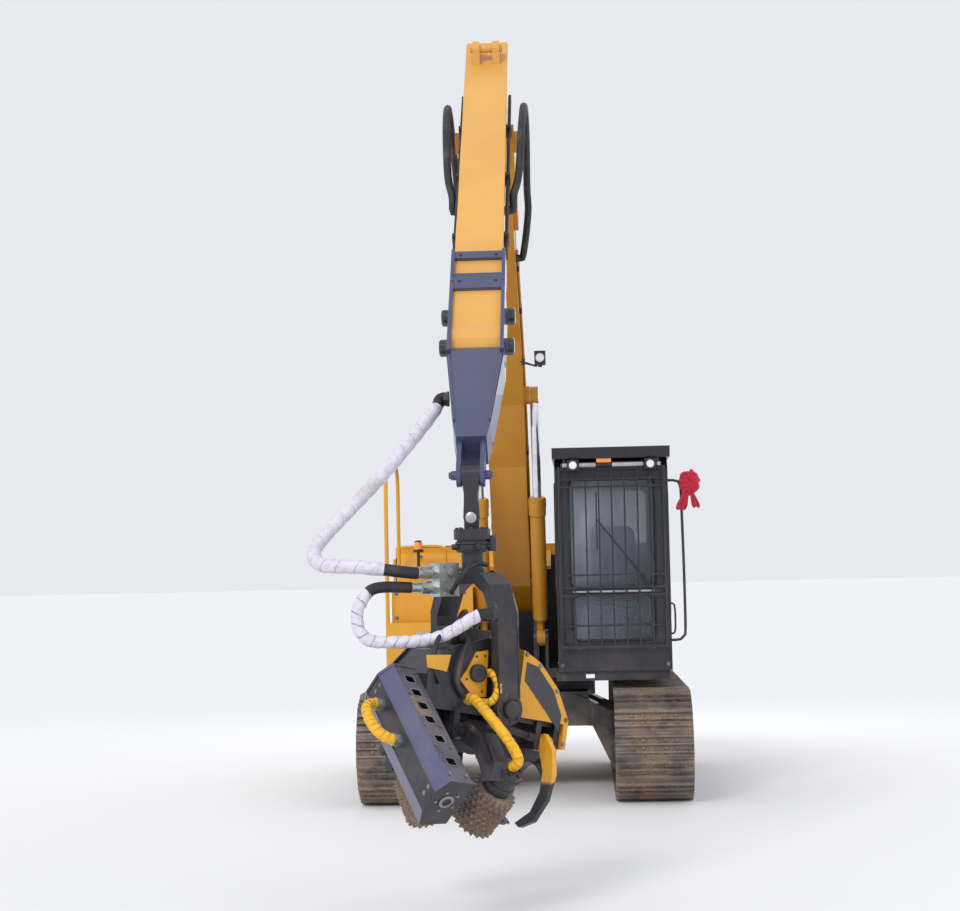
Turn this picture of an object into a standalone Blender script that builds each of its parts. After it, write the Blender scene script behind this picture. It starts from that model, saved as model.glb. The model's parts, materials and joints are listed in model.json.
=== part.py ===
"""Forestry harvester: a crawler carrier with a boom, a stick and a harvester head on a rotator.

Built facing -Y with +Z up and the cab on +X, about the swing axis; the last step moves the whole
machine so that its origin is the middle of its footprint on the ground. Metres throughout.
"""
import bpy
import bmesh
from math import acos, ceil, cos, pi, radians, sin, sqrt
from mathutils import Matrix, Vector
from mathutils.geometry import interpolate_bezier

# ---- clearances
GAP = 0.0003            # between pieces that touch
RUN = 0.006             # between pieces that move past each other
PIN_FIT = 0.0016        # radial, pin in its bore

# ---- undercarriage
GAUGE = 1.99            # between the tracks' centre planes
SHOE_WIDTH = 0.60
TRACK_LENGTH = 3.70
TRACK_HEIGHT = 0.86
LINK_DEPTH = 0.10       # grouser tip to the inner face of the chain
GROUSER = 0.026
SHOES = 43
BEAM_WIDTH = 0.26
BEAM_BOTTOM, BEAM_TOP = 0.17, 0.60
BODY_BOTTOM, BODY_TOP = 0.52, 0.80
RING_RADIUS, RING_TOP = 0.56, 0.92
ROLLERS = 7

# ---- revolving frame
DECK_BOTTOM, DECK_TOP = 0.925, 1.0
DECK_HALF = 1.15
DECK_FRONT, DECK_REAR = -1.30, 1.385
NOTCH_FRONT = -0.72     # the deck stops here in front of the boom
TAIL_RADIUS = 2.20
WEIGHT_HALF = 1.245
WEIGHT_TOP = 1.92
WEIGHT_FRONT = DECK_REAR + GAP
HOOD_TOP = 2.04
BAY_FRONT = 0.42
BAY_TOP = 1.95
SHEET = 0.03

# ---- right front: tank and toolbox
TANK_LEFT, TANK_RIGHT = -1.10, -0.43
TANK_FRONT, TANK_STEP, TANK_REAR = -0.80, -0.20, 0.385
TANK_LOW, TANK_HIGH = 1.68, 1.82
BOX_FRONT, BOX_REAR, BOX_TOP = -1.28, -0.84, 1.38

# ---- cab
CAB_LEFT, CAB_RIGHT = 0.27, 1.17
CAB_FRONT, CAB_REAR = -1.33, 0.26
CAB_TOP = 2.68
CAB_WALL = 0.05
GUARD_FRONT = -1.375
GLASS = 0.006

# ---- boom, stick and their cylinders
BOOM_X = -0.115         # plane of the boom and stick
FOOT_Y, FOOT_Z = -0.10, 1.60
BOOM_RISE = 43.7        # chord above the horizontal, degrees
BOOM_LENGTH = 4.60
BOOM_HALF = 0.15
BOOM_END = 4.15         # box section stops here, the fork goes on
EAR = 0.04
STICK_DIP = 41.5        # below the horizontal, degrees
STICK_LENGTH = 2.50
STICK_HALF = 0.145
TAIL_PIN_S, TAIL_PIN_H = -0.62, 0.12
SLOT_HALF = 0.07
LIFT_OFFSET = 0.235     # boom cylinders from the boom's plane
LIFT_BASE_Y, LIFT_BASE_Z = -0.60, 1.25
LIFT_PIN_A, LIFT_PIN_N = 1.88, 0.45
LIFT_BARREL = 1.20
BARREL_RADIUS, ROD_RADIUS = 0.0625, 0.035
EYE_RADIUS, EYE_HALF = 0.068, 0.035
CROWD_BASE_A, CROWD_BASE_N = 2.00, 0.76
CROWD_BARREL = 1.55
LIFT_INSIDE, CROWD_INSIDE = 0.236, 0.62    # rod inside its barrel at rest
EXT_PIN_S = 3.72        # cross pin of the extension, along the stick

# ---- hanging head
LINK_DROP = 0.232       # cross pin to fore and aft pin
ROTATOR_TOP = 2.02
CASE_BOTTOM = 1.895
YOKE_TOP = 1.80
TILT_Z = 1.06
HEAD_YAW, HEAD_TILT = 40.0, 11.0
YOKE_HALF = 0.30
YOKE_ARM = 0.055
MANIFOLD_FACE, MANIFOLD_SIDE = -0.20, 0.08
MANIFOLD_LOW, MANIFOLD_HIGH = 1.66, 1.84
SUPPLY_PORT, LOOP_PORT = 1.79, 1.71
FRAME_HALF = 0.19       # head frame, across the log
LOG_DROP = 0.40         # tilt pin to the log's centre
FRAME_END, BELLY = 0.475, -0.05
ARM_PIVOT = (-0.17, -0.14)
ARM_X, ARM_HUB, ARM_PIN = -0.16, 0.09, 0.022
KNIFE_X, KNIFE_HUB = 0.345, 0.045
MOTOR_HALF = 0.075
ROLLER_RADIUS, ROLLER_LENGTH = 0.125, 0.26
SAW_LENGTH = 0.85
SAW_LEAN = 48.8         # saw box from the vertical, degrees

STICK_HOSE_RADIUS = 0.026
SUPPLY_RADIUS = 0.04
LOOP_RADIUS = 0.038
YELLOW_RADIUS = 0.030

COLLECTION = "forestry_harvester"
SEGMENTS = 24

parts = bpy.data.collections.new(COLLECTION)
tools = bpy.data.collections.new("working_shapes")


# ---------------------------------------------------------------- small helpers
def clear_scene():
    for obj in list(bpy.data.objects):
        bpy.data.objects.remove(obj, do_unlink=True)
    bpy.context.scene.collection.children.link(parts)
    bpy.context.scene.collection.children.link(tools)


def material(name, colour, roughness=0.5, metallic=0.0):
    """A Principled material, made once for each name."""
    mat = bpy.data.materials.get(name)
    if mat is None:
        mat = bpy.data.materials.new(name)
        mat.use_nodes = True
        shader = mat.node_tree.nodes["Principled BSDF"]
        shader.inputs["Base Color"].default_value = (*colour, 1.0)
        shader.inputs["Roughness"].default_value = roughness
        shader.inputs["Metallic"].default_value = metallic
    return mat


def yellow():
    return material("machine_yellow", (0.80, 0.42, 0.03), 0.45)


def black():
    return material("black_paint", (0.025, 0.025, 0.035), 0.45)


def slate():
    return material("slate_paint", (0.10, 0.11, 0.20), 0.45)


def steel():
    return material("muddy_steel", (0.22, 0.17, 0.15), 0.6, 0.6)


def chrome():
    return material("chrome", (0.75, 0.76, 0.78), 0.15, 1.0)


def rubber():
    return material("hose_rubber", (0.03, 0.03, 0.035), 0.6)


def wrap_white():
    return material("white_wrap", (0.75, 0.72, 0.80), 0.7)


def wrap_yellow():
    return material("yellow_wrap", (0.85, 0.50, 0.02), 0.6)


def glass():
    return material("glass", (0.55, 0.60, 0.68), 0.05)


def cloth_red():
    return material("red_cloth", (0.70, 0.01, 0.04), 0.7)


def seat_fabric():
    return material("seat_fabric", (0.10, 0.10, 0.12), 0.8)


def shape(name, bm):
    """An object in the working collection from a finished bmesh."""
    mesh = bpy.data.meshes.new(name)
    bm.to_mesh(mesh)
    bm.free()
    obj = bpy.data.objects.new(name, mesh)
    obj.hide_render = True
    obj.display_type = "WIRE"
    tools.objects.link(obj)
    return obj


def box(low, high):
    """A box between two corners."""
    low, high = Vector(low), Vector(high)
    bm = bmesh.new()
    bmesh.ops.create_cube(bm, size=1.0)
    bmesh.ops.scale(bm, vec=high - low, verts=bm.verts)
    bmesh.ops.translate(bm, vec=(low + high) / 2, verts=bm.verts)
    return shape("box", bm)


def turn_to(axis):
    """Rotation that takes +Z to the axis."""
    return Vector((0, 0, 1)).rotation_difference(Vector(axis)).to_matrix().to_4x4()


def rod(start, end, radius, segments=SEGMENTS, end_radius=None):
    """A cylinder or cone between two points."""
    start, end = Vector(start), Vector(end)
    bm = bmesh.new()
    bmesh.ops.create_cone(bm, cap_ends=True, segments=segments, radius1=radius,
                          radius2=radius if end_radius is None else end_radius,
                          depth=(end - start).length)
    bmesh.ops.transform(bm, matrix=Matrix.Translation((start + end) / 2) @ turn_to(end - start),
                        verts=bm.verts)
    return shape("rod", bm)


def across(x_from, x_to, y, z, radius, segments=SEGMENTS):
    """A cylinder along X."""
    return rod((x_from, y, z), (x_to, y, z), radius, segments)


PLANES = {
    "XY": Matrix.Identity(4),
    "YZ": Matrix(((0, 0, 1, 0), (1, 0, 0, 0), (0, 1, 0, 0), (0, 0, 0, 1))),
    "XZ": Matrix(((1, 0, 0, 0), (0, 0, -1, 0), (0, 1, 0, 0), (0, 0, 0, 1))),
}


def welded(curve, matrix):
    """The curve as a closed mesh in the working collection."""
    maker = bpy.data.objects.new("curve", curve)
    tools.objects.link(maker)
    maker.matrix_world = matrix
    bpy.context.view_layer.update()
    mesh = bpy.data.meshes.new_from_object(maker.evaluated_get(bpy.context.evaluated_depsgraph_get()))
    bm = bmesh.new()
    bm.from_mesh(mesh)
    bmesh.ops.remove_doubles(bm, verts=bm.verts, dist=1e-5)
    bmesh.ops.transform(bm, matrix=matrix, verts=bm.verts)
    bmesh.ops.recalc_face_normals(bm, faces=bm.faces)
    bpy.data.objects.remove(maker)
    bpy.data.curves.remove(curve)
    bpy.data.meshes.remove(mesh)
    return shape("welded", bm)


def plate(plane, outline, low, high, holes=()):
    """A flat outline in a plane, from low to high along the plane's normal."""
    curve = bpy.data.curves.new("outline", "CURVE")
    curve.dimensions = "2D"
    curve.fill_mode = "BOTH"
    curve.extrude = (high - low) / 2
    for points in (outline, *holes):
        spline = curve.splines.new("POLY")
        spline.points.add(len(points) - 1)
        for point, (u, v) in zip(spline.points, points):
            point.co = (u, v, 0, 1)
        spline.use_cyclic_u = True
    middle = (low + high) / 2
    if plane == "XZ":
        middle = -middle
    return welded(curve, PLANES[plane] @ Matrix.Translation((0, 0, middle)))


def smooth_route(points, step):
    """Points a step apart on a smooth curve through the given ones."""
    points = [Vector(p) for p in points]
    ahead = points[1:] + [2 * points[-1] - points[-2]]
    behind = [2 * points[0] - points[1]] + points[:-1]
    tangents = [(a - b) / 6 for a, b in zip(ahead, behind)]
    line = [points[0]]
    for i in range(len(points) - 1):
        count = max(2, ceil((points[i + 1] - points[i]).length / step) + 1)
        line += interpolate_bezier(points[i], points[i] + tangents[i],
                                   points[i + 1] - tangents[i + 1], points[i + 1], count)[1:]
    return line


def tube(points, radius, resolution=2):
    """A round tube with filled ends along a line of points."""
    curve = bpy.data.curves.new("tube", "CURVE")
    curve.dimensions = "3D"
    curve.bevel_depth = radius
    curve.bevel_resolution = resolution
    curve.use_fill_caps = True
    spline = curve.splines.new("POLY")
    spline.points.add(len(points) - 1)
    for point, co in zip(spline.points, points):
        point.co = (*co, 1)
    return welded(curve, Matrix.Identity(4))


def turned(profile, origin, axis, segments=SEGMENTS):
    """A profile of (radius, height) turned about an axis; it starts and ends on the axis."""
    bm = bmesh.new()
    verts = [bm.verts.new((r, 0, h)) for r, h in profile]
    for a, b in zip(verts, verts[1:]):
        bm.edges.new((a, b))
    obj = shape("turned", bm)
    screw = obj.modifiers.new("Screw", "SCREW")
    screw.steps = screw.render_steps = segments
    screw.use_merge_vertices = True
    screw.merge_threshold = 1e-5
    bpy.context.view_layer.update()
    mesh = bpy.data.meshes.new_from_object(obj.evaluated_get(bpy.context.evaluated_depsgraph_get()))
    bpy.data.objects.remove(obj)
    bm = bmesh.new()
    bm.from_mesh(mesh)
    bmesh.ops.remove_doubles(bm, verts=bm.verts, dist=1e-5)
    bmesh.ops.transform(bm, matrix=Matrix.Translation(origin) @ turn_to(axis), verts=bm.verts)
    bmesh.ops.recalc_face_normals(bm, faces=bm.faces)
    bpy.data.meshes.remove(mesh)
    return shape("turned", bm)


def combine(base, others, operation):
    """The base after a Boolean with each of the others, which are used up."""
    for other in others:
        boolean = base.modifiers.new(operation, "BOOLEAN")
        boolean.operation = operation
        boolean.solver = "EXACT"
        boolean.object = other
    bpy.context.view_layer.update()
    mesh = bpy.data.meshes.new_from_object(base.evaluated_get(bpy.context.evaluated_depsgraph_get()))
    base.modifiers.clear()
    base.data = mesh
    for other in others:
        bpy.data.objects.remove(other)
    return base


def node(name, mat, joint, pieces, cuts=(), bevel=0.0):
    """One named sub-part: its pieces joined, its cuts made, carried by the joint's empty.

    The pieces are drawn in the frame of that empty."""
    base = pieces[0]
    if len(pieces) > 1:
        combine(base, pieces[1:], "UNION")
    if cuts:
        combine(base, list(cuts), "DIFFERENCE")
    tools.objects.unlink(base)
    parts.objects.link(base)
    base.name = base.data.name = name
    base.hide_render = False
    base.display_type = "TEXTURED"
    base.data.materials.clear()
    base.data.materials.append(mat)
    base.data.shade_smooth()
    base.data.set_sharp_from_angle(angle=radians(30))
    base.parent = joint
    if bevel:
        edge = base.modifiers.new("Bevel", "BEVEL")
        edge.width = bevel
        edge.segments = 1
        edge.limit_method = "ANGLE"
        edge.angle_limit = radians(50)
    return base


def empty(name, parent=None, location=(0, 0, 0), rotation=(0, 0, 0)):
    """A joint's frame, in its parent's frame."""
    frame = bpy.data.objects.new(name, None)
    parts.objects.link(frame)
    frame.parent = parent
    frame.location = location
    frame.rotation_euler = rotation
    return frame


def mirrored(outline, sign):
    return [(sign * u, v) for u, v in outline]


def arc(centre, radius, start, end, steps):
    """Points of an arc, in degrees, counter-clockwise when end is past start."""
    turn = [radians(start + (end - start) * i / steps) for i in range(steps + 1)]
    return [(centre[0] + radius * cos(t), centre[1] + radius * sin(t)) for t in turn]


# ---------------------------------------------------------------- undercarriage
TRACK_MIDDLE = TRACK_HEIGHT / 2
HALF_RUN = (TRACK_LENGTH - TRACK_HEIGHT) / 2
INNER_RADIUS = TRACK_MIDDLE - LINK_DEPTH
ARC_STEPS = 16


def loop_point(distance, proud):
    """A point of the track's loop: distance along the shoes' plates, proud of them."""
    radius = TRACK_MIDDLE - GROUSER
    straight, bend = 2 * HALF_RUN, pi * radius
    distance %= 2 * (straight + bend)
    side = 1
    if distance >= straight + bend:
        distance -= straight + bend
        side = -1
    if distance < straight:
        along, turn = distance - HALF_RUN, 0.0
    else:
        along, turn = HALF_RUN, (distance - straight) / radius
    reach = radius + proud
    y = along + reach * sin(turn)
    z = -reach * cos(turn)
    return side * y, TRACK_MIDDLE + side * z


def track(name, centre, root):
    """A closed chain with one grouser for each shoe."""
    pitch = (4 * HALF_RUN + 2 * pi * (TRACK_MIDDLE - GROUSER)) / SHOES
    outer = []
    for i in range(SHOES):
        for share, proud in ((0.10, 0.0), (0.22, GROUSER), (0.46, GROUSER), (0.58, 0.0)):
            outer.append(loop_point((i + share) * pitch, proud))
    inner = (arc((HALF_RUN, TRACK_MIDDLE), INNER_RADIUS, -90, 90, ARC_STEPS)
             + arc((-HALF_RUN, TRACK_MIDDLE), INNER_RADIUS, 90, 270, ARC_STEPS))
    band = plate("YZ", outer, centre - SHOE_WIDTH / 2, centre + SHOE_WIDTH / 2, [inner])
    return node(name, steel(), root, [band])


IDLER_HUB = 0.10        # half width of idler and sprocket hubs
FORK = 0.03


def wheel(name, centre, y, root, teeth=0):
    """An idler, or a sprocket when it has teeth, on its own hub."""
    rim = 0.05
    radius = INNER_RADIUS * (cos(pi / (2 * ARC_STEPS)) if teeth else 1.0) - GAP
    hub = across(centre - IDLER_HUB, centre + IDLER_HUB, y, TRACK_MIDDLE, 0.12)
    if teeth:
        outline = []
        for i in range(teeth):
            middle = 360.0 * i / teeth
            for share, reach in ((-0.18, radius), (0.18, radius), (0.34, radius - 0.05), (0.66, radius - 0.05)):
                angle = radians(middle + share * 360.0 / teeth)
                outline.append((y + reach * sin(angle), TRACK_MIDDLE - reach * cos(angle)))
        disc = plate("YZ", outline, centre - rim / 2, centre + rim / 2)
    else:
        # a facet corner points straight down, as the chain's inner arcs have it
        disc = plate("YZ", arc((y, TRACK_MIDDLE), radius, -90, 270, 2 * ARC_STEPS)[:-1],
                     centre - rim, centre + rim)
    return node(name, steel(), root, [hub, disc])


def undercarriage(root):
    """Car body on four legs, side beams with rollers and wheel forks, and the slew ring."""
    pieces = [box((-0.50, -0.62, BODY_BOTTOM), (0.50, 0.62, BODY_TOP)),
              rod((0, 0, BODY_TOP - 0.05), (0, 0, RING_TOP), RING_RADIUS, 36)]
    inner_edge = GAUGE / 2 - SHOE_WIDTH / 2
    leg = [(0.40, BODY_TOP - 0.02), (0.40, BODY_BOTTOM + 0.01), (0.53, BODY_BOTTOM), (inner_edge, BEAM_BOTTOM),
           (GAUGE / 2 - 0.06, BEAM_BOTTOM + 0.02), (GAUGE / 2 - 0.06, BEAM_TOP - 0.03), (0.67, BEAM_TOP + 0.05)]
    for side in (-1, 1):
        centre = side * GAUGE / 2
        for y in (-0.50, 0.50):
            pieces.append(plate("XZ", mirrored(leg, side), y - 0.17, y + 0.17))
        pieces.append(box((centre - BEAM_WIDTH / 2, -1.04, BEAM_BOTTOM), (centre + BEAM_WIDTH / 2, 1.04, BEAM_TOP)))
        for y in (-HALF_RUN, HALF_RUN):
            for lean in (-1, 1):
                inner = centre + lean * (IDLER_HUB + GAP)
                outer = inner + lean * FORK
                reach = 0.10 if y > 0 else -0.10
                low_y, high_y = sorted((y + reach, y - reach * 5.2))
                pieces.append(box((min(inner, outer), low_y, TRACK_MIDDLE - 0.09),
                                  (max(inner, outer), high_y, TRACK_MIDDLE + 0.09)))
        radius = 0.075
        for i in range(ROLLERS):
            y = -0.96 + 1.92 * i / (ROLLERS - 1)
            outline = arc((y, LINK_DEPTH + GAP + radius), radius, -90, 270, 12)[:-1]
            pieces.append(plate("YZ", outline, centre - 0.16, centre + 0.16))
        for y in (-0.5, 0.5):
            outline = arc((y, TRACK_HEIGHT - LINK_DEPTH - GAP - 0.06), 0.06, -90, 270, 12)[:-1]
            pieces.append(plate("YZ", outline, centre - 0.09, centre + 0.09))
            pieces.append(box((centre - 0.05, y - 0.035, BEAM_TOP - 0.02), (centre + 0.05, y + 0.035, 0.70)))
    node("undercarriage_frame", black(), root, pieces)
    for side, word in ((1, "left"), (-1, "right")):
        centre = side * GAUGE / 2
        track(word + "_track", centre, root)
        wheel(word + "_idler", centre, -HALF_RUN, root)
        wheel(word + "_sprocket", centre, HALF_RUN, root, teeth=16)


# ---------------------------------------------------------------- upper structure
TOWER_IN = BOOM_HALF + 0.02     # foot boss is 20 mm wider than the box on each side


def revolving_frame(upper):
    """Deck, boom towers with the foot pin, and the boom cylinders' lugs."""
    middle_low, middle_high = -0.47, 0.25
    pieces = [box((-DECK_HALF, NOTCH_FRONT, DECK_BOTTOM), (DECK_HALF, DECK_REAR, DECK_TOP)),
              box((middle_high, DECK_FRONT, DECK_BOTTOM), (DECK_HALF, NOTCH_FRONT + 0.05, DECK_TOP)),
              box((-DECK_HALF, DECK_FRONT, DECK_BOTTOM), (middle_low, NOTCH_FRONT + 0.05, DECK_TOP)),
              rod((0, 0, RING_TOP + GAP), (0, 0, DECK_BOTTOM + 0.02), 0.45, 36)]
    tower = [(-0.42, 0.98), (-0.32, 1.40), (-0.24, 1.66), (-0.18, 1.72), (-0.02, 1.72), (0.08, 1.62), (0.34, 0.98)]
    base = (LIFT_BASE_Y, LIFT_BASE_Z)
    lug = [(base[0] - 0.07, 0.98)] + arc(base, 0.07, 180, 0, 6) + [(base[0] + 0.12, 0.98)]
    for side in (-1, 1):
        low = side * (TOWER_IN + GAP)
        pieces.append(plate("YZ", tower, *sorted((BOOM_X + low, BOOM_X + low + side * EAR))))
        for lean in (-1, 1):
            near = LIFT_OFFSET + lean * (EYE_HALF + GAP)
            far = near + lean * 0.025
            pieces.append(plate("YZ", lug, *sorted((BOOM_X + side * near, BOOM_X + side * far))))
        pieces.append(across(BOOM_X + side * (LIFT_OFFSET - 0.055), BOOM_X + side * (LIFT_OFFSET + 0.055),
                             *base, 0.028))
    pieces.append(across(BOOM_X - TOWER_IN - 0.06, BOOM_X + TOWER_IN + 0.06, FOOT_Y, FOOT_Z, 0.045))
    node("revolving_frame", black(), upper, pieces)


def counterweight(upper):
    """Tail weight with a round rear about the swing axis."""
    turn = 34.0
    rear = [(WEIGHT_HALF, WEIGHT_FRONT)]
    start = 90 - turn
    rear += [p for p in arc((0, 0), TAIL_RADIUS, start, 180 - start, 14)]
    rear[1] = (WEIGHT_HALF, sqrt(TAIL_RADIUS ** 2 - WEIGHT_HALF ** 2))
    rear[-1] = (-rear[1][0], rear[1][1])
    rear.append((-WEIGHT_HALF, WEIGHT_FRONT))
    node("counterweight", yellow(), upper, [plate("XY", rear, DECK_BOTTOM, WEIGHT_TOP)], bevel=0.03)


def engine_bay(upper):
    """Engine block, the frame round it, the hood and the two side doors with their hinges."""
    node("engine_block", steel(), upper, [box((-0.35, 0.60, DECK_TOP + GAP), (0.40, 1.24, 1.72))])
    half = DECK_HALF + 0.03
    rim = plate("XY", [(-half, BAY_FRONT), (half, BAY_FRONT), (half, DECK_REAR), (-half, DECK_REAR)],
                BAY_TOP - 0.05, BAY_TOP,
                [[(-half + 0.06, BAY_FRONT + 0.06), (half - 0.06, BAY_FRONT + 0.06),
                  (half - 0.06, DECK_REAR - 0.06), (-half + 0.06, DECK_REAR - 0.06)]])
    pieces = [rim, box((-half, BAY_FRONT, DECK_TOP + GAP), (half, BAY_FRONT + SHEET, BAY_TOP - 0.02))]
    for x in (-half, half - 0.05):
        pieces.append(box((x, DECK_REAR - 0.05, DECK_TOP + GAP), (x + 0.05, DECK_REAR, BAY_TOP - 0.02)))
    node("engine_bay_frame", black(), upper, pieces)

    hinge = empty("hood_hinge", upper, (0, DECK_REAR, BAY_TOP + GAP))
    rise = HOOD_TOP - BAY_TOP - GAP
    depth = DECK_REAR - BAY_FRONT
    lid = [(0, 0), (0, rise - 0.02), (-0.04, rise), (-depth + 0.06, rise), (-depth - 0.16, rise - 0.19),
           (-depth - 0.19, rise - 0.19), (-depth - 0.19, rise - 0.22), (-depth - 0.13, rise - 0.22),
           (-depth - RUN, rise - 0.11), (-depth - RUN, 0)]
    top = [(0, 0), (0, rise - 0.02), (-0.04, rise), (-depth, rise), (-depth, 0)]
    node("engine_hood", yellow(), hinge,
         [plate("YZ", top, -half, half), plate("YZ", lid, -half + 0.03, 0.20)])

    for side, word in ((1, "left"), (-1, "right")):
        face = side * half
        post = empty(word + "_door_hinge", upper, (face + side * 0.012, BAY_FRONT + 0.015, 1.0))
        low, high = sorted((side * (GAP - 0.012), side * (GAP + 0.013)))
        node(word + "_service_door", yellow(), post,
             [box((low, 0, DECK_TOP + 0.012 - 1.0), (high, DECK_REAR - BAY_FRONT - 0.02, BAY_TOP - 0.012 - 1.0))])


def tank_and_toolbox(upper):
    """Stepped tank, the toolbox in front of it and its lid."""
    step = [(TANK_FRONT, DECK_TOP + GAP), (TANK_FRONT, TANK_LOW), (TANK_STEP, TANK_LOW), (TANK_STEP, TANK_HIGH - 0.01),
            (TANK_STEP + 0.02, TANK_HIGH - 0.01), (0.17, TANK_HIGH - 0.01), (0.17, 1.74), (TANK_REAR, 1.74),
            (TANK_REAR, DECK_TOP + GAP)]
    node("fuel_tank", yellow(), upper, [plate("YZ", step, TANK_LEFT, TANK_RIGHT)])
    node("toolbox", yellow(), upper, [box((TANK_LEFT, BOX_FRONT, DECK_TOP + GAP), (TANK_RIGHT - 0.05, BOX_REAR, BOX_TOP))])
    hinge = empty("toolbox_hinge", upper, (0, BOX_REAR, BOX_TOP + GAP))
    node("toolbox_lid", yellow(), hinge,
         [box((TANK_LEFT - 0.004, BOX_FRONT - BOX_REAR, 0), (TANK_RIGHT - 0.04, 0, 0.025))])


def handrail(upper):
    """Tall hoop rail along the right front edge, standing on the deck."""
    x = TANK_LEFT - 0.03
    route = [(x, -0.86, DECK_TOP + GAP), (x, -0.86, 1.3), (x, -0.86, 1.9), (x, -0.86, 2.42), (x, -0.80, 2.62),
             (x, -0.62, 2.74), (x, -0.30, 2.76), (x, 0.0, 2.75), (x, 0.14, 2.68), (x, 0.19, 2.55), (x, 0.19, 2.2),
             (x, 0.19, 1.6), (x, 0.19, DECK_TOP + GAP)]
    node("handrail", yellow(), upper, [tube(smooth_route(route, 0.12), 0.017)])


# ---------------------------------------------------------------- cab
def window(outline_plane, low, high, corner, depth):
    """A cutter with rounded corners; low and high are its two corners in the plane."""
    (u0, v0), (u1, v1) = low, high
    outline = (arc((u1 - corner, v0 + corner), corner, -90, 0, 3) + arc((u1 - corner, v1 - corner), corner, 0, 90, 3)
               + arc((u0 + corner, v1 - corner), corner, 90, 180, 3) + arc((u0 + corner, v0 + corner), corner, 180, 270, 3))
    return plate(outline_plane, outline, *depth)


def cab(upper):
    """Hollow cab with its openings, door, glass, guards, seat and the rail on its left corner."""
    floor = DECK_TOP + GAP
    body = [(CAB_FRONT, floor), (CAB_FRONT, 2.60), (-1.24, CAB_TOP), (0.18, CAB_TOP), (CAB_REAR, 2.60), (CAB_REAR, floor)]
    inside = [(CAB_FRONT + CAB_WALL, floor + CAB_WALL), (CAB_FRONT + CAB_WALL, 2.58), (-1.22, CAB_TOP - CAB_WALL),
              (0.16, CAB_TOP - CAB_WALL), (CAB_REAR - CAB_WALL, 2.58), (CAB_REAR - CAB_WALL, floor + CAB_WALL)]
    cuts = [plate("YZ", inside, CAB_LEFT + CAB_WALL, CAB_RIGHT - CAB_WALL),
            window("XZ", (0.38, 1.66), (1.06, 2.52), 0.05, (CAB_FRONT - 0.02, CAB_FRONT + CAB_WALL + 0.02)),
            window("XZ", (0.39, 1.24), (1.05, 1.60), 0.07, (CAB_FRONT - 0.02, CAB_FRONT + CAB_WALL + 0.02)),
            window("XZ", (0.39, 1.90), (1.05, 2.50), 0.06, (CAB_REAR - CAB_WALL - 0.02, CAB_REAR + 0.02)),
            window("YZ", (-1.20, 1.60), (0.12, 2.50), 0.06, (CAB_LEFT - 0.02, CAB_LEFT + CAB_WALL + 0.02)),
            window("YZ", (-1.22, 1.09), (-0.42, 2.54), 0.04, (CAB_RIGHT - CAB_WALL - 0.02, CAB_RIGHT + 0.02)),
            window("YZ", (-0.32, 1.75), (0.12, 2.50), 0.05, (CAB_RIGHT - CAB_WALL - 0.02, CAB_RIGHT + 0.02))]
    node("cab_frame", black(), upper, [plate("YZ", body, CAB_LEFT, CAB_RIGHT)], cuts)

    inner = CAB_FRONT + CAB_WALL + GAP
    node("windscreen", glass(), upper, [box((0.34, inner, 1.20), (1.10, inner + GLASS, 2.56))])
    back = CAB_REAR - CAB_WALL - GAP
    node("rear_glass", glass(), upper, [box((0.35, back - GLASS, 1.86), (1.09, back, 2.54))])
    side = CAB_LEFT + CAB_WALL + GAP
    node("side_glass", glass(), upper, [box((side, -1.24, 1.56), (side + GLASS, 0.16, 2.54))])

    outer = -0.02
    hinge = empty("cab_door_hinge", upper, (CAB_RIGHT - outer, -0.405, 0))
    front, rear = -0.805, -0.015 - RUN
    panel = window("YZ", (front, 1.09 + RUN), (rear, 2.54 - RUN), 0.035, (outer - CAB_WALL, outer))
    opening = window("YZ", (front + 0.07, 1.42), (rear - 0.07, 2.46), 0.05, (outer - CAB_WALL - 0.02, outer + 0.02))
    knuckles = [rod((0, 0, z), (0, 0, z + 0.10), -outer - GAP, 16) for z in (1.25, 2.25)]
    pads = [box((outer - 0.01, rear - 0.05, z + 0.01), (0.004, rear - 0.005, z + 0.09)) for z in (1.25, 2.25)]
    leaves = [box((-0.010, rear - 0.03, z + 0.01), (0.004, 0.004, z + 0.09)) for z in (1.25, 2.25)]
    node("cab_door", black(), hinge, [panel] + knuckles + pads + leaves, [opening])
    pane = outer - CAB_WALL - GAP
    node("door_glass", glass(), hinge, [box((pane - GLASS, front + 0.05, 1.40), (pane, rear - 0.05, 2.48))])

    guard(upper)
    roof_guard(upper)
    seat(upper, floor + CAB_WALL)
    x = CAB_RIGHT + GAP
    route = [(x, -1.31, 2.50), (x + 0.04, -1.31, 2.50), (x + 0.08, -1.31, 2.49), (x + 0.10, -1.31, 2.45),
             (x + 0.105, -1.31, 2.2), (x + 0.11, -1.31, 1.8), (x + 0.11, -1.31, 1.34), (x + 0.10, -1.31, 1.27),
             (x + 0.07, -1.31, 1.24), (x + 0.03, -1.31, 1.235), (x, -1.31, 1.235)]
    node("mirror_rail", black(), upper, [tube(smooth_route(route, 0.06), 0.011)])
    front = -1.31 - 0.011 - GAP
    node("red_cloth", cloth_red(), upper, [box((1.235, front - 0.15, 2.25), (1.425, front, 2.59))], bevel=0.04)


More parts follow.
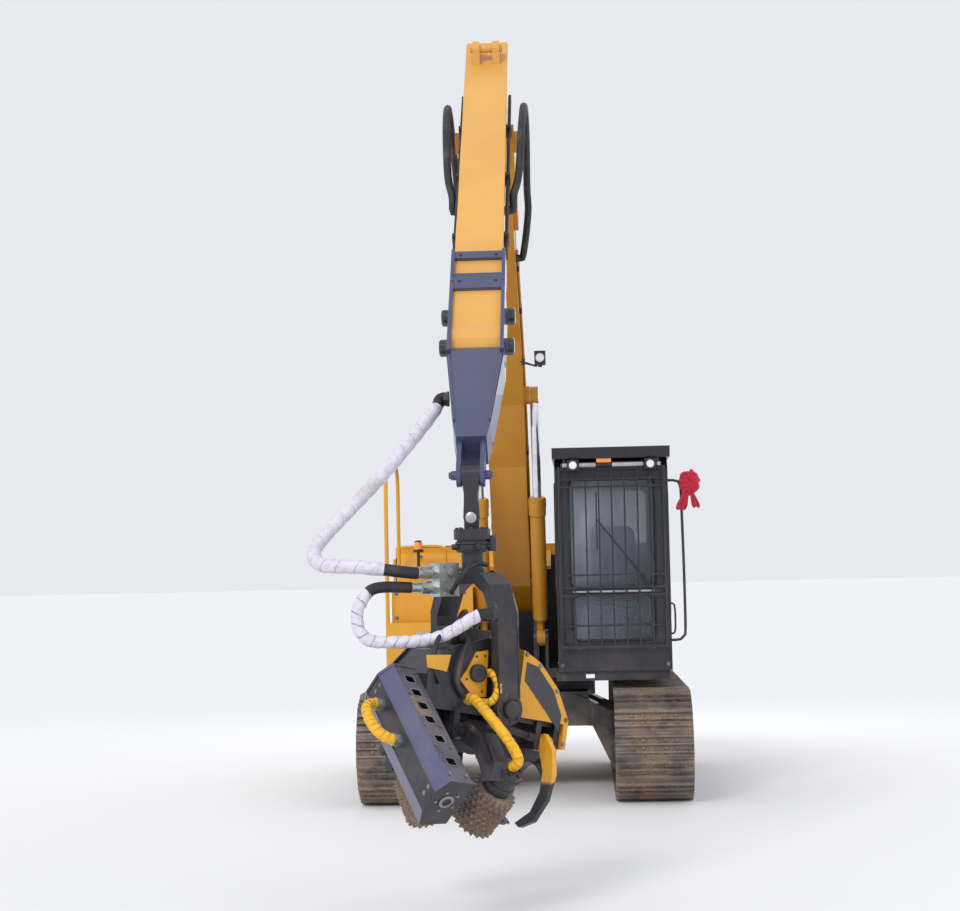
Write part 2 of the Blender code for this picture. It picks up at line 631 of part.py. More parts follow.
def guard(upper):
    """Flat front guard of crossed bars, on four stand-offs."""
    low_x, high_x, low_z, high_z = 0.31, 1.13, 1.20, 2.60
    rows = [low_z, 1.36, 1.60, 1.66, 1.76, 2.46, 2.52, high_z]
    bar, columns = 0.013, 8
    holes = []
    for z0, z1 in zip(rows, rows[1:]):
        for i in range(columns):
            u0 = low_x + (high_x - low_x) * i / columns + bar / 2
            u1 = low_x + (high_x - low_x) * (i + 1) / columns - bar / 2
            holes.append([(u0, z0 + bar / 2), (u1, z0 + bar / 2), (u1, z1 - bar / 2), (u0, z1 - bar / 2)])
    rim = 0.02
    frame = plate("XZ", [(low_x - rim, low_z - rim), (high_x + rim, low_z - rim), (high_x + rim, high_z + rim),
                         (low_x - rim, high_z + rim)], GUARD_FRONT, GUARD_FRONT + 0.015, holes)
    feet = [rod((x, GUARD_FRONT + 0.005, z), (x, CAB_FRONT - GAP, z), 0.011, 10)
            for x in (low_x - rim / 2 + 0.004, high_x + rim / 2 - 0.004) for z in (1.63, 2.49, 1.20, high_z - 0.005)]
    node("front_guard", black(), upper, [frame] + feet)


def roof_guard(upper):
    """Roof plate with a deep front visor, and the lamp bar under it."""
    base = CAB_TOP + GAP
    plan = [(0.255, -1.46), (1.185, -1.46), (1.185, 0.18), (0.255, 0.18)]
    visor = [(-1.46, base), (-1.50, base + 0.085), (-1.47, base + 0.085), (-1.40, base + 0.02), (-1.40, base)]
    pieces = [plate("XY", plan, base, base + 0.045), plate("YZ", visor, 0.255, 1.185)]
    bar_y, bar_z = -1.43, base - 0.05
    pieces.append(across(0.32, 1.12, bar_y, bar_z, 0.018, 12))
    for x in (0.34, 1.08):
        pieces.append(box((x, bar_y - 0.012, bar_z), (x + 0.02, bar_y + 0.012, base + 0.01)))
    for x in (0.42, 1.03):
        pieces.append(box((x - 0.045, bar_y - 0.045, bar_z - 0.045), (x + 0.045, bar_y + 0.03, bar_z + 0.04)))
    node("roof_guard", black(), upper, pieces)


def seat(upper, floor):
    """Seat base with its back frame and side consoles, the cushion and the backrest."""
    top = 1.42
    pieces = [box((0.52, -0.62, floor + GAP), (0.92, -0.10, top)), box((0.56, -0.14, 1.30), (0.88, -0.10, 2.05)),
              box((0.36, -0.50, 1.25), (1.08, -0.22, 1.33))]
    for x0, x1 in ((0.345, 0.465), (0.975, 1.085)):
        pieces.append(box((x0, -0.78, 1.25), (x1, -0.20, 1.60)))
        middle = (x0 + x1) / 2
        pieces.append(rod((middle, -0.70, 1.58), (middle, -0.72, 1.76), 0.018, 10))
    node("seat_base", black(), upper, pieces)
    node("seat_cushion", seat_fabric(), upper, [box((0.48, -0.70, top + GAP), (0.955, -0.24, top + 0.12))], bevel=0.025)
    node("seat_back", seat_fabric(), upper, [box((0.50, -0.235, top + 0.03), (0.94, -0.14 - GAP, 2.18))], bevel=0.025)


# ---------------------------------------------------------------- boom
def boom(frame):
    """Bent box boom; frame has its origin at the foot pin and -Y along the chord."""
    low = [(-0.25, -0.13), (-0.75, 0.04), (-1.30, 0.22), (-1.90, 0.31), (-2.60, 0.27), (-3.40, 0.09), (-BOOM_END, -0.10)]
    high = [(-BOOM_END, 0.20), (-3.60, 0.35), (-3.00, 0.49), (-2.40, 0.62), (-1.90, 0.665), (-1.50, 0.64),
            (-1.00, 0.50), (-0.50, 0.30), (-0.06, 0.145)]
    body = plate("YZ", [(-0.02, -0.145)] + low + high, BOOM_X - BOOM_HALF, BOOM_X + BOOM_HALF)
    boss = across(BOOM_X - TOWER_IN, BOOM_X + TOWER_IN, 0, 0, 0.145)
    pieces = [body, boss]
    ear = ([(-3.80, 0.06), (-BOOM_LENGTH + 0.02, -0.12)] + arc((-BOOM_LENGTH, 0), 0.12, 270, 90, 6)
           + [(-3.80, 0.26)])
    for side in (-1, 1):
        inner, outer = BOOM_X + side * (BOOM_HALF - 0.001), BOOM_X + side * (BOOM_HALF - 0.001 + EAR)
        pieces.append(plate("YZ", ear, *sorted((inner, outer))))
        pieces.append(across(inner + side * 0.01, outer + side * 0.03, -BOOM_LENGTH, 0, 0.075))
        pieces.append(across(BOOM_X + side * (BOOM_HALF - 0.02), BOOM_X + side * (LIFT_OFFSET - EYE_HALF - GAP),
                             -LIFT_PIN_A, LIFT_PIN_N, 0.075))
    base = (-CROWD_BASE_A, CROWD_BASE_N)
    lug = [(base[0] + 0.16, 0.60)] + arc(base, 0.07, 0, 180, 6) + [(base[0] - 0.16, 0.58)]
    for side in (-1, 1):
        near, far = side * (EYE_HALF + GAP), side * (EYE_HALF + GAP + 0.03)
        pieces.append(plate("YZ", lug, *sorted((BOOM_X + near, BOOM_X + far))))
    pieces.append(across(BOOM_X - EYE_HALF - 0.04, BOOM_X + EYE_HALF + 0.04, *base, 0.028))
    cut = across(BOOM_X - TOWER_IN - 0.01, BOOM_X + TOWER_IN + 0.01, 0, 0, 0.045 + PIN_FIT)
    node("boom", yellow(), frame, pieces, [cut])


def cylinder_barrel(name, frame, x, direction, length, radius, mat):
    """Barrel with its base eye at the frame's origin; the bore is open at the gland."""
    direction = Vector(direction).normalized()
    bore = ROD_RADIUS + 0.0008
    profile = [(0, 0.15), (radius - 0.01, 0.15), (radius, 0.17), (radius, length - 0.16), (radius + 0.008, length - 0.15),
               (radius + 0.008, length - 0.01), (radius - 0.005, length), (bore, length), (bore, 0.185), (0, 0.185)]
    tube_body = turned(profile[::-1], (x, 0, 0), direction)
    neck = rod(Vector((x, 0, 0)), Vector((x, 0, 0)) + direction * 0.172, 0.031, 15, 0.0335)
    eye = across(x - EYE_HALF, x + EYE_HALF, 0, 0, EYE_RADIUS)
    hole = across(x - 0.1, x + 0.1, 0, 0, 0.028 + PIN_FIT)
    node(name, mat, frame, [tube_body, neck, eye], [hole])


def cylinder_rod(name, frame, x, direction, gland, eye_at, inside):
    """Rod from inside the barrel to its eye; the eye lies between flat faces and needs no hole."""
    direction = Vector(direction).normalized()
    origin = Vector((x, 0, 0))
    shaft = rod(origin + direction * (gland - inside), origin + direction * (eye_at - 0.02), ROD_RADIUS)
    centre = origin + direction * eye_at
    eye = across(x - EYE_HALF, x + EYE_HALF, centre.y, centre.z, EYE_RADIUS)
    node(name, chrome(), frame, [shaft, eye])


def point_on(frame_angle, origin, a, n):
    """World (y, z) of a point at a along and n above a member that rises by the angle."""
    angle = radians(frame_angle)
    return origin[0] - cos(angle) * a + sin(angle) * n, origin[1] + sin(angle) * a + cos(angle) * n


def boom_cylinders(upper):
    """Two lift cylinders beside the boom."""
    pin = point_on(BOOM_RISE, (FOOT_Y, FOOT_Z), LIFT_PIN_A, LIFT_PIN_N)
    reach = Vector((0, pin[0] - LIFT_BASE_Y, pin[1] - LIFT_BASE_Z))
    for side, word in ((1, "left"), (-1, "right")):
        x = BOOM_X + side * LIFT_OFFSET
        base = empty(word + "_lift_pivot", upper, (0, LIFT_BASE_Y, LIFT_BASE_Z))
        cylinder_barrel(word + "_lift_barrel", base, x, reach, LIFT_BARREL, BARREL_RADIUS, yellow())
        slide = empty(word + "_lift_slide", base)
        cylinder_rod(word + "_lift_rod", slide, x, reach, LIFT_BARREL, reach.length, LIFT_INSIDE)


def stick_cylinder(boom_frame, stick_in_boom):
    """Crowd cylinder on top of the boom, drawn in the boom's frame."""
    pivot = empty("crowd_pivot", boom_frame, (0, -CROWD_BASE_A, CROWD_BASE_N))
    tail = stick_in_boom @ Vector((0, -TAIL_PIN_S, TAIL_PIN_H))
    reach = tail - Vector((0, -CROWD_BASE_A, CROWD_BASE_N))
    cylinder_barrel("crowd_barrel", pivot, BOOM_X, reach, CROWD_BARREL, BARREL_RADIUS, yellow())
    slide = empty("crowd_slide", pivot)
    direction = reach.normalized()
    shaft = rod(Vector((BOOM_X, 0, 0)) + direction * (CROWD_BARREL - CROWD_INSIDE),
                Vector((BOOM_X, 0, 0)) + direction * (reach.length - 0.02), ROD_RADIUS)
    centre = Vector((BOOM_X, 0, 0)) + reach
    eye = across(BOOM_X - SLOT_HALF + GAP, BOOM_X + SLOT_HALF - GAP, centre.y, centre.z, EYE_RADIUS)
    node("crowd_rod", chrome(), slide, [shaft, eye])


# ---------------------------------------------------------------- stick and extension
def front_face(s):
    """Height of the stick's front face above its axis at s along it."""
    return 0.36 + (0.14 - 0.36) * (s + 0.84) / (2.30 + 0.84)


def stick(frame):
    """Box stick; frame has its origin at the boom pin and -Y along the stick."""
    outline = [(0.86, 0.24), (0.82, 0.36), (-2.30, 0.14)] + arc((-STICK_LENGTH, 0), 0.13, 70, 270, 8)
    outline += [(-2.20, -0.13), (-0.45, -0.17), (-0.05, -0.18), (0.22, -0.14), (0.48, -0.02), (0.78, 0.07), (0.84, 0.13)]
    body = plate("YZ", outline, BOOM_X - STICK_HALF, BOOM_X + STICK_HALF)
    pieces = [body]
    boss_out = BOOM_HALF - 0.001 - GAP
    pieces.append(across(BOOM_X - boss_out, BOOM_X + boss_out, 0, 0, 0.10))
    ear = [(0.68, 0.32)] + arc((0.60, 0.42), 0.055, 0, 180, 6) + [(0.50, 0.30)]
    for side in (-1, 1):
        pieces.append(plate("YZ", ear, *sorted((BOOM_X + side * 0.045, BOOM_X + side * 0.095))))
    pieces.append(across(BOOM_X - 0.11, BOOM_X + 0.11, 0.60, 0.42, 0.028, 16))
    slot = box((BOOM_X - SLOT_HALF, 0.42, -0.3), (BOOM_X + SLOT_HALF, 1.0, 0.33))
    node("stick", yellow(), frame, pieces, [slot])


def extension(frame):
    """Plates clamped round the stick's end, tapering to the fork that carries the head."""
    half = STICK_HALF + GAP
    sheet = 0.022
    side_plate = [(-1.95, 0.19), (-2.30, 0.17), (-2.70, 0.13), (-2.70, -0.13), (-2.30, -0.16), (-2.02, -0.15),
                  (-2.02, 0.05), (-1.95, 0.08)]
    upper_plate = [(-1.74, 0.215), (-1.86, 0.205), (-2.0, 0.19), (-2.0, 0.05), (-1.92, 0.02), (-1.74, 0.06)]
    pieces = []
    for side in (-1, 1):
        inner, outer = BOOM_X + side * half, BOOM_X + side * (half + sheet)
        pieces.append(plate("YZ", side_plate, *sorted((inner, outer))))
        pieces.append(plate("YZ", upper_plate, *sorted((inner, outer))))
        for s, h in ((2.18, 0.0), (2.50, 0.0)):
            pieces.append(across(outer - side * 0.01, outer + side * 0.05, -s, h, 0.05))
    for s0, s1 in ((1.745, 1.815), (1.97, 2.12)):
        clear = GAP / cos(0.07)
        band = [(-s0, front_face(s0) + clear), (-s1, front_face(s1) + clear), (-s1, front_face(s1) + 0.022),
                (-s0, front_face(s0) + 0.022)]
        pieces.append(plate("YZ", band, BOOM_X - half - sheet, BOOM_X + half + sheet))
    taper = [(half + sheet, -2.655), (half + sheet, -2.72), (0.105, -3.38), (0.085, -3.50),
             (-0.085, -3.50), (-0.105, -3.38), (-half - sheet, -2.72), (-half - sheet, -2.655)]
    pieces.append(plate("XY", [(BOOM_X + x, y) for x, y in taper], -0.10, 0.10))
    pin = -EXT_PIN_S
    lug = [(-3.40, 0.075), (pin, 0.065)] + arc((pin, 0), 0.065, 90, 270, 6) + [(pin, -0.065), (-3.40, -0.075)]
    for side in (-1, 1):
        inner, outer = side * (KNUCKLE_HALF + GAP), side * (KNUCKLE_HALF + GAP + 0.025)
        pieces.append(plate("YZ", lug, *sorted((BOOM_X + inner, BOOM_X + outer))))
    pieces.append(across(BOOM_X - KNUCKLE_HALF - 0.05, BOOM_X + KNUCKLE_HALF + 0.055, pin, 0, 0.026, 16))
    node("extension_bracket", slate(), frame, pieces)


KNUCKLE_HALF = 0.052


# ---------------------------------------------------------------- hanging link, rotator and yoke
def dangle_link(frame):
    """Knuckle on the cross pin and a fork for the fore and aft pin; hangs straight down."""
    knuckle = across(BOOM_X - KNUCKLE_HALF, BOOM_X + KNUCKLE_HALF, 0, 0, 0.058)
    neck = plate("XZ", [(BOOM_X - 0.05, 0), (BOOM_X - 0.037, -0.10), (BOOM_X - 0.037, -0.16), (BOOM_X + 0.037, -0.16),
                        (BOOM_X + 0.037, -0.10), (BOOM_X + 0.05, 0)], -0.062, 0.062)
    ear = arc((BOOM_X, -LINK_DROP), 0.042, 180, 360, 8) + [(BOOM_X + 0.037, -0.13), (BOOM_X - 0.037, -0.13)]
    pieces = [knuckle, neck]
    for side in (-1, 1):
        low, high = sorted((side * (LUG_HALF + GAP), side * 0.062))
        pieces.append(plate("XZ", ear, low, high))
    pieces.append(rod((BOOM_X, -0.078, -LINK_DROP), (BOOM_X, 0.078, -LINK_DROP), 0.022, 16))
    hole = across(BOOM_X - 0.1, BOOM_X + 0.1, 0, 0, 0.026 + PIN_FIT, 16)
    node("dangle_link", black(), frame, pieces, [hole])


LUG_HALF = 0.030


def rotator(frame, pin_z):
    """Upper, still half of the rotator: lug, flange, case and swivel motor."""
    def z(world):
        return world - pin_z
    lug = [(-0.04, z(ROTATOR_TOP) - 0.01)] + [(0.04, z(ROTATOR_TOP) - 0.01)] + arc((0, 0), 0.04, 0, 180, 8)
    pieces = [plate("XZ", lug, -LUG_HALF, LUG_HALF),
              rod((0, 0, z(ROTATOR_TOP)), (0, 0, z(1.965)), 0.10), rod((0, 0, z(1.975)), (0, 0, z(CASE_BOTTOM)), 0.085),
              rod((0.105, 0.01, z(1.985)), (0.105, 0.01, z(1.90)), 0.027, 14),
              box((0.05, -0.015, z(1.95)), (0.11, 0.03, z(1.92)))]
    hole = rod((0, -0.1, 0), (0, 0.1, 0), 0.022 + PIN_FIT, 16)
    node("rotator", black(), frame, pieces, [hole])


def yoke(frame):
    """Inverted U that straddles the head; its frame is at the tilt pins' height, turned with the head."""
    top = YOKE_TOP - TILT_Z
    thick = YOKE_ARM
    half = YOKE_HALF
    outer = [(-half, -0.06), (-half, 0.52), (-0.24, 0.66), (-0.15, top - 0.015), (0.15, top - 0.015), (0.24, 0.66),
             (half, 0.52), (half, -0.06)]
    inner = [(half - thick, -0.06), (half - thick, 0.49), (0.18, 0.615), (0.10, top - 0.075), (-0.10, top - 0.075),
             (-0.18, 0.615), (thick - half, 0.49), (thick - half, -0.06)]
    # drawn in the plane across the log (y here), 0.14 wide along the log
    arch = plate("YZ", outer + inner, -0.07, 0.07)
    pieces = [arch, rod((0, 0, top - 0.03), (0, 0, CASE_BOTTOM - TILT_Z - GAP), 0.060),
              rod((0, 0, top - 0.03), (0, 0, top + 0.005), 0.0685)]
    for side in (-1, 1):
        inner_y, outer_y = side * (half - thick), side * half
        pieces.append(rod((0, inner_y + side * 0.004, 0), (0, outer_y, 0), 0.085))
        pieces.append(rod((0, outer_y - side * 0.01, 0), (0, outer_y + side * 0.025, 0), 0.045, 16))
    node("yoke", black(), frame, pieces)
    low, high = MANIFOLD_LOW - TILT_Z, MANIFOLD_HIGH - TILT_Z
    node("hose_manifold", material("zinc", (0.35, 0.37, 0.34), 0.5, 0.7), frame,
         [box((MANIFOLD_FACE, MANIFOLD_SIDE - 0.05, low), (-0.07 - GAP, MANIFOLD_SIDE + 0.05, high))])


# ---------------------------------------------------------------- harvester head
def head_frame(frame):
    """Box frame over the log with its pin bosses, end plates and fixed top knife."""
    side = [(-FRAME_END, BELLY), (-FRAME_END, 0.12), (-0.36, 0.26), (-0.12, 0.34), (0.08, 0.34), (0.24, 0.22),
            (0.40, 0.10), (FRAME_END, BELLY)]
    pieces = [plate("XZ", side, -FRAME_HALF, FRAME_HALF), box((-0.46, -0.09, -0.24), (0.46, 0.09, BELLY + 0.02))]
    for lean in (-1, 1):
        y = -lean * ARM_PIVOT[0]
        for x, half in ((ARM_X, ARM_HUB), (KNIFE_X, KNIFE_HUB)):
            for end in (-1, 1):
                low, high = sorted((x + end * (half + GAP), x + end * (half + 0.035)))
                pieces.append(box((low, min(lean * 0.05, y + lean * 0.04), ARM_PIVOT[1] - 0.04),
                                  (high, max(lean * 0.05, y + lean * 0.04), BELLY + 0.02)))
            pieces.append(rod((x - half - 0.03, y, ARM_PIVOT[1]), (x + half + 0.03, y, ARM_PIVOT[1]), ARM_PIN, 16))
    for lean in (-1, 1):
        inner = lean * (YOKE_HALF - YOKE_ARM - GAP)
        pieces.append(rod((0, lean * (FRAME_HALF - 0.02), 0), (0, inner, 0), 0.075))
    knife = arc((0, -LOG_DROP), 0.155, 150, 30, 8) + arc((0, -LOG_DROP), 0.20, 30, 150, 8)
    pieces.append(plate("YZ", knife, 0.40, 0.475))
    pieces.append(plate("YZ", knife, -0.475, -0.40))
    node("head_frame", black(), frame, pieces)
    cover = [(0.10, -0.025), (0.10, 0.33), (0.22, 0.28), (0.36, 0.16), (0.46, 0.0), (0.46, -0.16), (0.435, -0.16),
             (0.43, -0.025)]
    node("side_cover", yellow(), frame, [plate("XZ", cover, -FRAME_HALF - GAP - 0.045, -FRAME_HALF - GAP)])


def saw_frame_matrix():
    """From the saw box's own axes (x along the log, y its width, z along its length, down) to the head's."""
    lean = radians(SAW_LEAN)
    down = Vector((0, -sin(lean), -cos(lean)))
    width = Vector((0, -cos(lean), sin(lean)))
    matrix = Matrix.Identity(4)
    for row in range(3):
        matrix[row][0] = (1.0, 0.0, 0.0)[row]
        matrix[row][1] = width[row]
        matrix[row][2] = down[row]
    matrix.translation = Vector((-FRAME_END - GAP, 0.038, 0.033))
    return matrix


def place(obj, matrix):
    """Moves a working shape's mesh by a matrix."""
    obj.data.transform(matrix)
    if matrix.to_3x3().determinant() < 0:
        obj.data.flip_normals()
    return obj


def saw(frame):
    """Folded saw box, open on its lower side, and the bar that swings out of it."""
    matrix = saw_frame_matrix()
    wall = 0.014
    # section in (x along the log, y across the box); the open side is at -y
    outer = [(0.0, -0.12), (0.0, 0.15), (-0.14, 0.15), (-0.185, 0.07), (-0.185, -0.06), (-0.15, -0.15)]
    inner = [(-0.15 + wall, -0.145), (-0.185 + wall, -0.058), (-0.185 + wall, 0.066), (-0.132, 0.15 - wall),
             (-wall, 0.15 - wall), (-wall, -0.12)]
    shell = plate("XY", outer + inner, 0.0, SAW_LENGTH)
    lid = [(-0.002, -0.123), (-0.002, 0.153), (-0.142, 0.153), (-0.188, 0.071), (-0.188, -0.061), (-0.152, -0.153)]
    pieces = [shell] + [plate("XY", lid, *ends) for ends in ((-0.004, wall), (SAW_LENGTH - wall, SAW_LENGTH + 0.004))]
    windows = [box((-0.105, 0.10, low), (-0.045, 0.20, low + 0.055)) for low in (0.08, 0.18, 0.28, 0.38, 0.52, 0.68)]
    node("saw_box", slate(), frame, [place(p, matrix) for p in pieces], [place(c, matrix) for c in windows])
    pivot = matrix @ Vector((-0.075, 0.02, 0.09))
    joint = empty("saw_pivot", frame, pivot)
    local = Matrix.Translation(-pivot) @ matrix
    outline = [(-0.02, 0.055), (0.055, 0.06), (0.055, 0.70), (0.035, 0.755), (0.0, 0.77), (-0.03, 0.74), (-0.045, 0.09)]
    blade = plate("YZ", outline, -0.078, -0.072)
    hub = rod((-0.095, 0.02, 0.09), (-wall - GAP, 0.02, 0.09), 0.032, 16)
    node("saw_bar", chrome(), joint, [place(blade, local), place(hub, local)])


def arms(frame):
    """Feed arms with their rollers, and the delimbing knives, on both sides of the log."""
    near_arm = None
    for side, word in ((-1, "left"), (1, "right")):
        # the near side of the resting machine is -y of the head's frame, its left when it faces the saw
        y0, z0 = side * -ARM_PIVOT[0], ARM_PIVOT[1]
        pivot = empty(word + "_arm_pivot", frame, (ARM_X, y0, z0))
        near_arm = near_arm or pivot

        def at(y, z):
            return side * y, z
        arm = [at(-0.03, 0.04), at(0.05, 0.06), at(0.20, 0.0), at(0.32, -0.14), at(0.31, -0.24), at(0.24, -0.25),
               at(0.20, -0.17), at(0.12, -0.09), at(0.0, -0.05)]
        motor = Vector((0.085, side * 0.25, -0.22))
        axis = Vector((0, -side * 0.685, -0.728)).normalized()
        pieces = [plate("YZ", arm, -0.045, 0.045), rod((-ARM_HUB, 0, 0), (ARM_HUB, 0, 0), 0.05, 16),
                  rod(motor - axis * MOTOR_HALF, motor + axis * MOTOR_HALF, 0.075, 16)]
        bore = rod((-0.2, 0, 0), (0.2, 0, 0), ARM_PIN + PIN_FIT, 16)
        node(word + "_feed_arm", black(), pivot, pieces, [bore])
        spin = empty(word + "_roller_axis", pivot, motor)
        start = axis * (MOTOR_HALF + GAP)
        node(word + "_feed_roller", steel(), spin, [rod(start, start + axis * ROLLER_LENGTH, ROLLER_RADIUS, 20)])

        knife_pivot = empty(word + "_knife_pivot", frame, (KNIFE_X, y0, z0))
        sweep = [at(-0.03, 0.03), at(0.06, 0.05), at(0.14, -0.03), at(0.17, -0.16), at(0.14, -0.30), at(0.05, -0.42),
                 at(-0.06, -0.46), at(-0.10, -0.44), at(0.02, -0.37), at(0.08, -0.26), at(0.085, -0.15), at(0.04, -0.06)]
        low = -0.036 if side < 0 else 0.006
        bore = rod((-0.2, 0, 0), (0.2, 0, 0), ARM_PIN + PIN_FIT, 16)
        node(word + "_knife", yellow(), knife_pivot,
             [plate("YZ", sweep, low, low + 0.03), rod((-KNIFE_HUB, 0, 0), (KNIFE_HUB, 0, 0), 0.045, 16)], [bore])
    return near_arm


# ---------------------------------------------------------------- hoses
def hose(name, mat, parent, route, radius, step):
    """A free hose on a smooth route in the machine's axes, with flat ends."""
    line = smooth_route(route, step)
    # both ends run square to their faces for the first stretch
    for end, inward, start, toward in ((0, 1, route[0], route[1]), (-1, -2, route[-1], route[-2])):
        way = (Vector(toward) - Vector(start)).normalized()
        line[inward] = line[end] + way * (line[inward] - line[end]).length
    line = [parent.matrix_world.inverted() @ p for p in line]
    node(name, mat, parent, [tube(line, radius)])


def hoses(boom_frame, stick_frame, turn_frame, tilt_frame, arm_frame):
    """The free hoses, each ending square on the piece that holds it."""
    for side, word in ((1, "left"), (-1, "right")):
        x = BOOM_X + side * 0.255
        boom_side = boom_frame.matrix_world @ Vector((BOOM_X + side * (BOOM_HALF + GAP), -3.40, 0.26))
        stick_side = stick_frame.matrix_world @ Vector((BOOM_X + side * (STICK_HALF + GAP), -0.98, 0.03))
        out = Vector((side * 0.05, 0, 0))
        route = [boom_side, boom_side + out, (x, -2.62, 4.42), (x, -2.74, 4.60), (x + side * 0.01, -3.06, 4.90),
                 (x + side * 0.01, -3.45, 5.02), (x, -3.82, 4.80), (x - side * 0.02, -4.05, 4.42),
                 stick_side + out * 1.1 + Vector((0, 0.01, 0.10)), stick_side + out, stick_side]
        hose(word + "_stick_hose", rubber(), stick_frame, route, STICK_HOSE_RADIUS, 0.13)
    start = stick_frame.matrix_world @ Vector((BOOM_X - 0.148, -2.985, -0.02))
    port = turn_frame.matrix_world @ Vector((MANIFOLD_FACE - GAP, MANIFOLD_SIDE, SUPPLY_PORT - TILT_Z))
    away = turn_frame.matrix_world.to_3x3() @ Vector((-1, 0, 0))
    route = [start, start + Vector((-0.05, 0, 0)), (-0.36, -5.72, 2.69), (-0.616, -5.95, 2.348),
             (-0.93, -6.2, 1.989), (-0.965, -6.30, 1.89), (-0.904, -6.38, 1.840), (-0.699, -6.42, 1.826),
             port + away * 0.14, port]
    hose("supply_hose", wrap_white(), stick_frame, route, SUPPLY_RADIUS, 0.16)
    port = turn_frame.matrix_world @ Vector((MANIFOLD_FACE - GAP, MANIFOLD_SIDE, LOOP_PORT - TILT_Z))
    end = turn_frame.matrix_world @ Vector((-0.07 - GAP, -YOKE_HALF + YOKE_ARM / 2, 1.56 - TILT_Z))
    route = [port, port + away * 0.10, (-0.62, -6.46, 1.712), (-0.699, -6.49, 1.63), (-0.715, -6.5, 1.554),
             (-0.690, -6.5, 1.470), (-0.60, -6.5, 1.430), (-0.30, -6.5, 1.445), end + away * 0.10, end]
    hose("loop_hose", wrap_white(), turn_frame, route, LOOP_RADIUS, 0.13)
    box_side = saw_frame_matrix()
    outlet = tilt_frame.matrix_world @ box_side @ Vector((-0.185 - GAP, 0.0, 0.16))
    back = tilt_frame.matrix_world @ box_side @ Vector((-0.185 - GAP, 0.0, 0.42))
    out = tilt_frame.matrix_world.to_3x3() @ Vector((-1, 0, 0))
    middle = (outlet + back) / 2
    route = [outlet, outlet + out * 0.05, middle + out * 0.11 + (outlet - back) * 0.35, middle + out * 0.13,
             middle + out * 0.11 - (outlet - back) * 0.35, back + out * 0.05, back]
    hose("yellow_saw_hose", wrap_yellow(), tilt_frame, route, YELLOW_RADIUS, 0.07)
    start = tilt_frame.matrix_world @ Vector((-0.20, -FRAME_HALF - GAP, 0.02))
    face = tilt_frame.matrix_world.to_3x3() @ Vector((0, -1, 0))
    out = arm_frame.matrix_world.to_3x3() @ Vector((0, -0.685, 0.728)).normalized()
    motor_end = arm_frame.matrix_world @ Vector((0.085, -0.25, -0.22)) + out * (MOTOR_HALF + GAP)
    route = [start, start + face * 0.07, (start + motor_end) / 2 + face * 0.13, motor_end + out * 0.07, motor_end]
    hose("yellow_motor_hose", wrap_yellow(), tilt_frame, route, YELLOW_RADIUS, 0.08)


def settle(root):
    """Puts the middle of the footprint, hoses left out, at the origin and the tracks on the ground."""
    bpy.context.view_layer.update()
    points = [obj.matrix_world @ Vector(corner) for obj in parts.objects
              if obj.type == "MESH" and not obj.name.endswith("_hose") for corner in obj.bound_box]
    low = [min(p[i] for p in points) for i in range(3)]
    high = [max(p[i] for p in points) for i in range(3)]
    root.location = (-(low[0] + high[0]) / 2, -(low[1] + high[1]) / 2, -low[2])
    bpy.context.view_layer.update()


def build():
    clear_scene()
    root = empty("harvester")
    undercarriage(root)
    upper = empty("swing", root)
    revolving_frame(upper)
    counterweight(upper)
    engine_bay(upper)
    tank_and_toolbox(upper)
    handrail(upper)
    cab(upper)
    boom_cylinders(upper)
    boom_frame = empty("boom_pivot", upper, (0, FOOT_Y, FOOT_Z), (-radians(BOOM_RISE), 0, 0))
    boom(boom_frame)
    stick_in_boom = (Matrix.Translation((0, -BOOM_LENGTH, 0))
                     @ Matrix.Rotation(radians(BOOM_RISE + STICK_DIP), 4, "X"))
    stick_frame = empty("stick_pivot", boom_frame, (0, -BOOM_LENGTH, 0), (radians(BOOM_RISE + STICK_DIP), 0, 0))
    stick(stick_frame)
    extension(stick_frame)
    stick_cylinder(boom_frame, stick_in_boom)
    link_frame = empty("link_cross_pivot", stick_frame, (0, -EXT_PIN_S, 0), (-radians(STICK_DIP), 0, 0))
    dangle_link(link_frame)
    bpy.context.view_layer.update()
    pin_z = link_frame.matrix_world.translation.z - LINK_DROP
    roll_frame = empty("link_roll_pivot", link_frame, (BOOM_X, 0, -LINK_DROP))
    rotator(roll_frame, pin_z)
    turn_frame = empty("rotator_axis", roll_frame, (0, 0, TILT_Z - pin_z), (0, 0, radians(HEAD_YAW)))
    yoke(turn_frame)
    tilt_frame = empty("tilt_pivot", turn_frame, (0, 0, 0), (0, radians(HEAD_TILT), 0))
    head_frame(tilt_frame)
    saw(tilt_frame)
    near_arm = arms(tilt_frame)
    bpy.context.view_layer.update()
    hoses(boom_frame, stick_frame, turn_frame, tilt_frame, near_arm)
    for obj in list(tools.objects):
        bpy.data.objects.remove(obj)
    settle(root)


build()
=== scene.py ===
import bpy
import bmesh
import json
from math import ceil, cos, floor, pi, radians, sin
from mathutils import Matrix, Vector, noise
from mathutils.geometry import interpolate_bezier


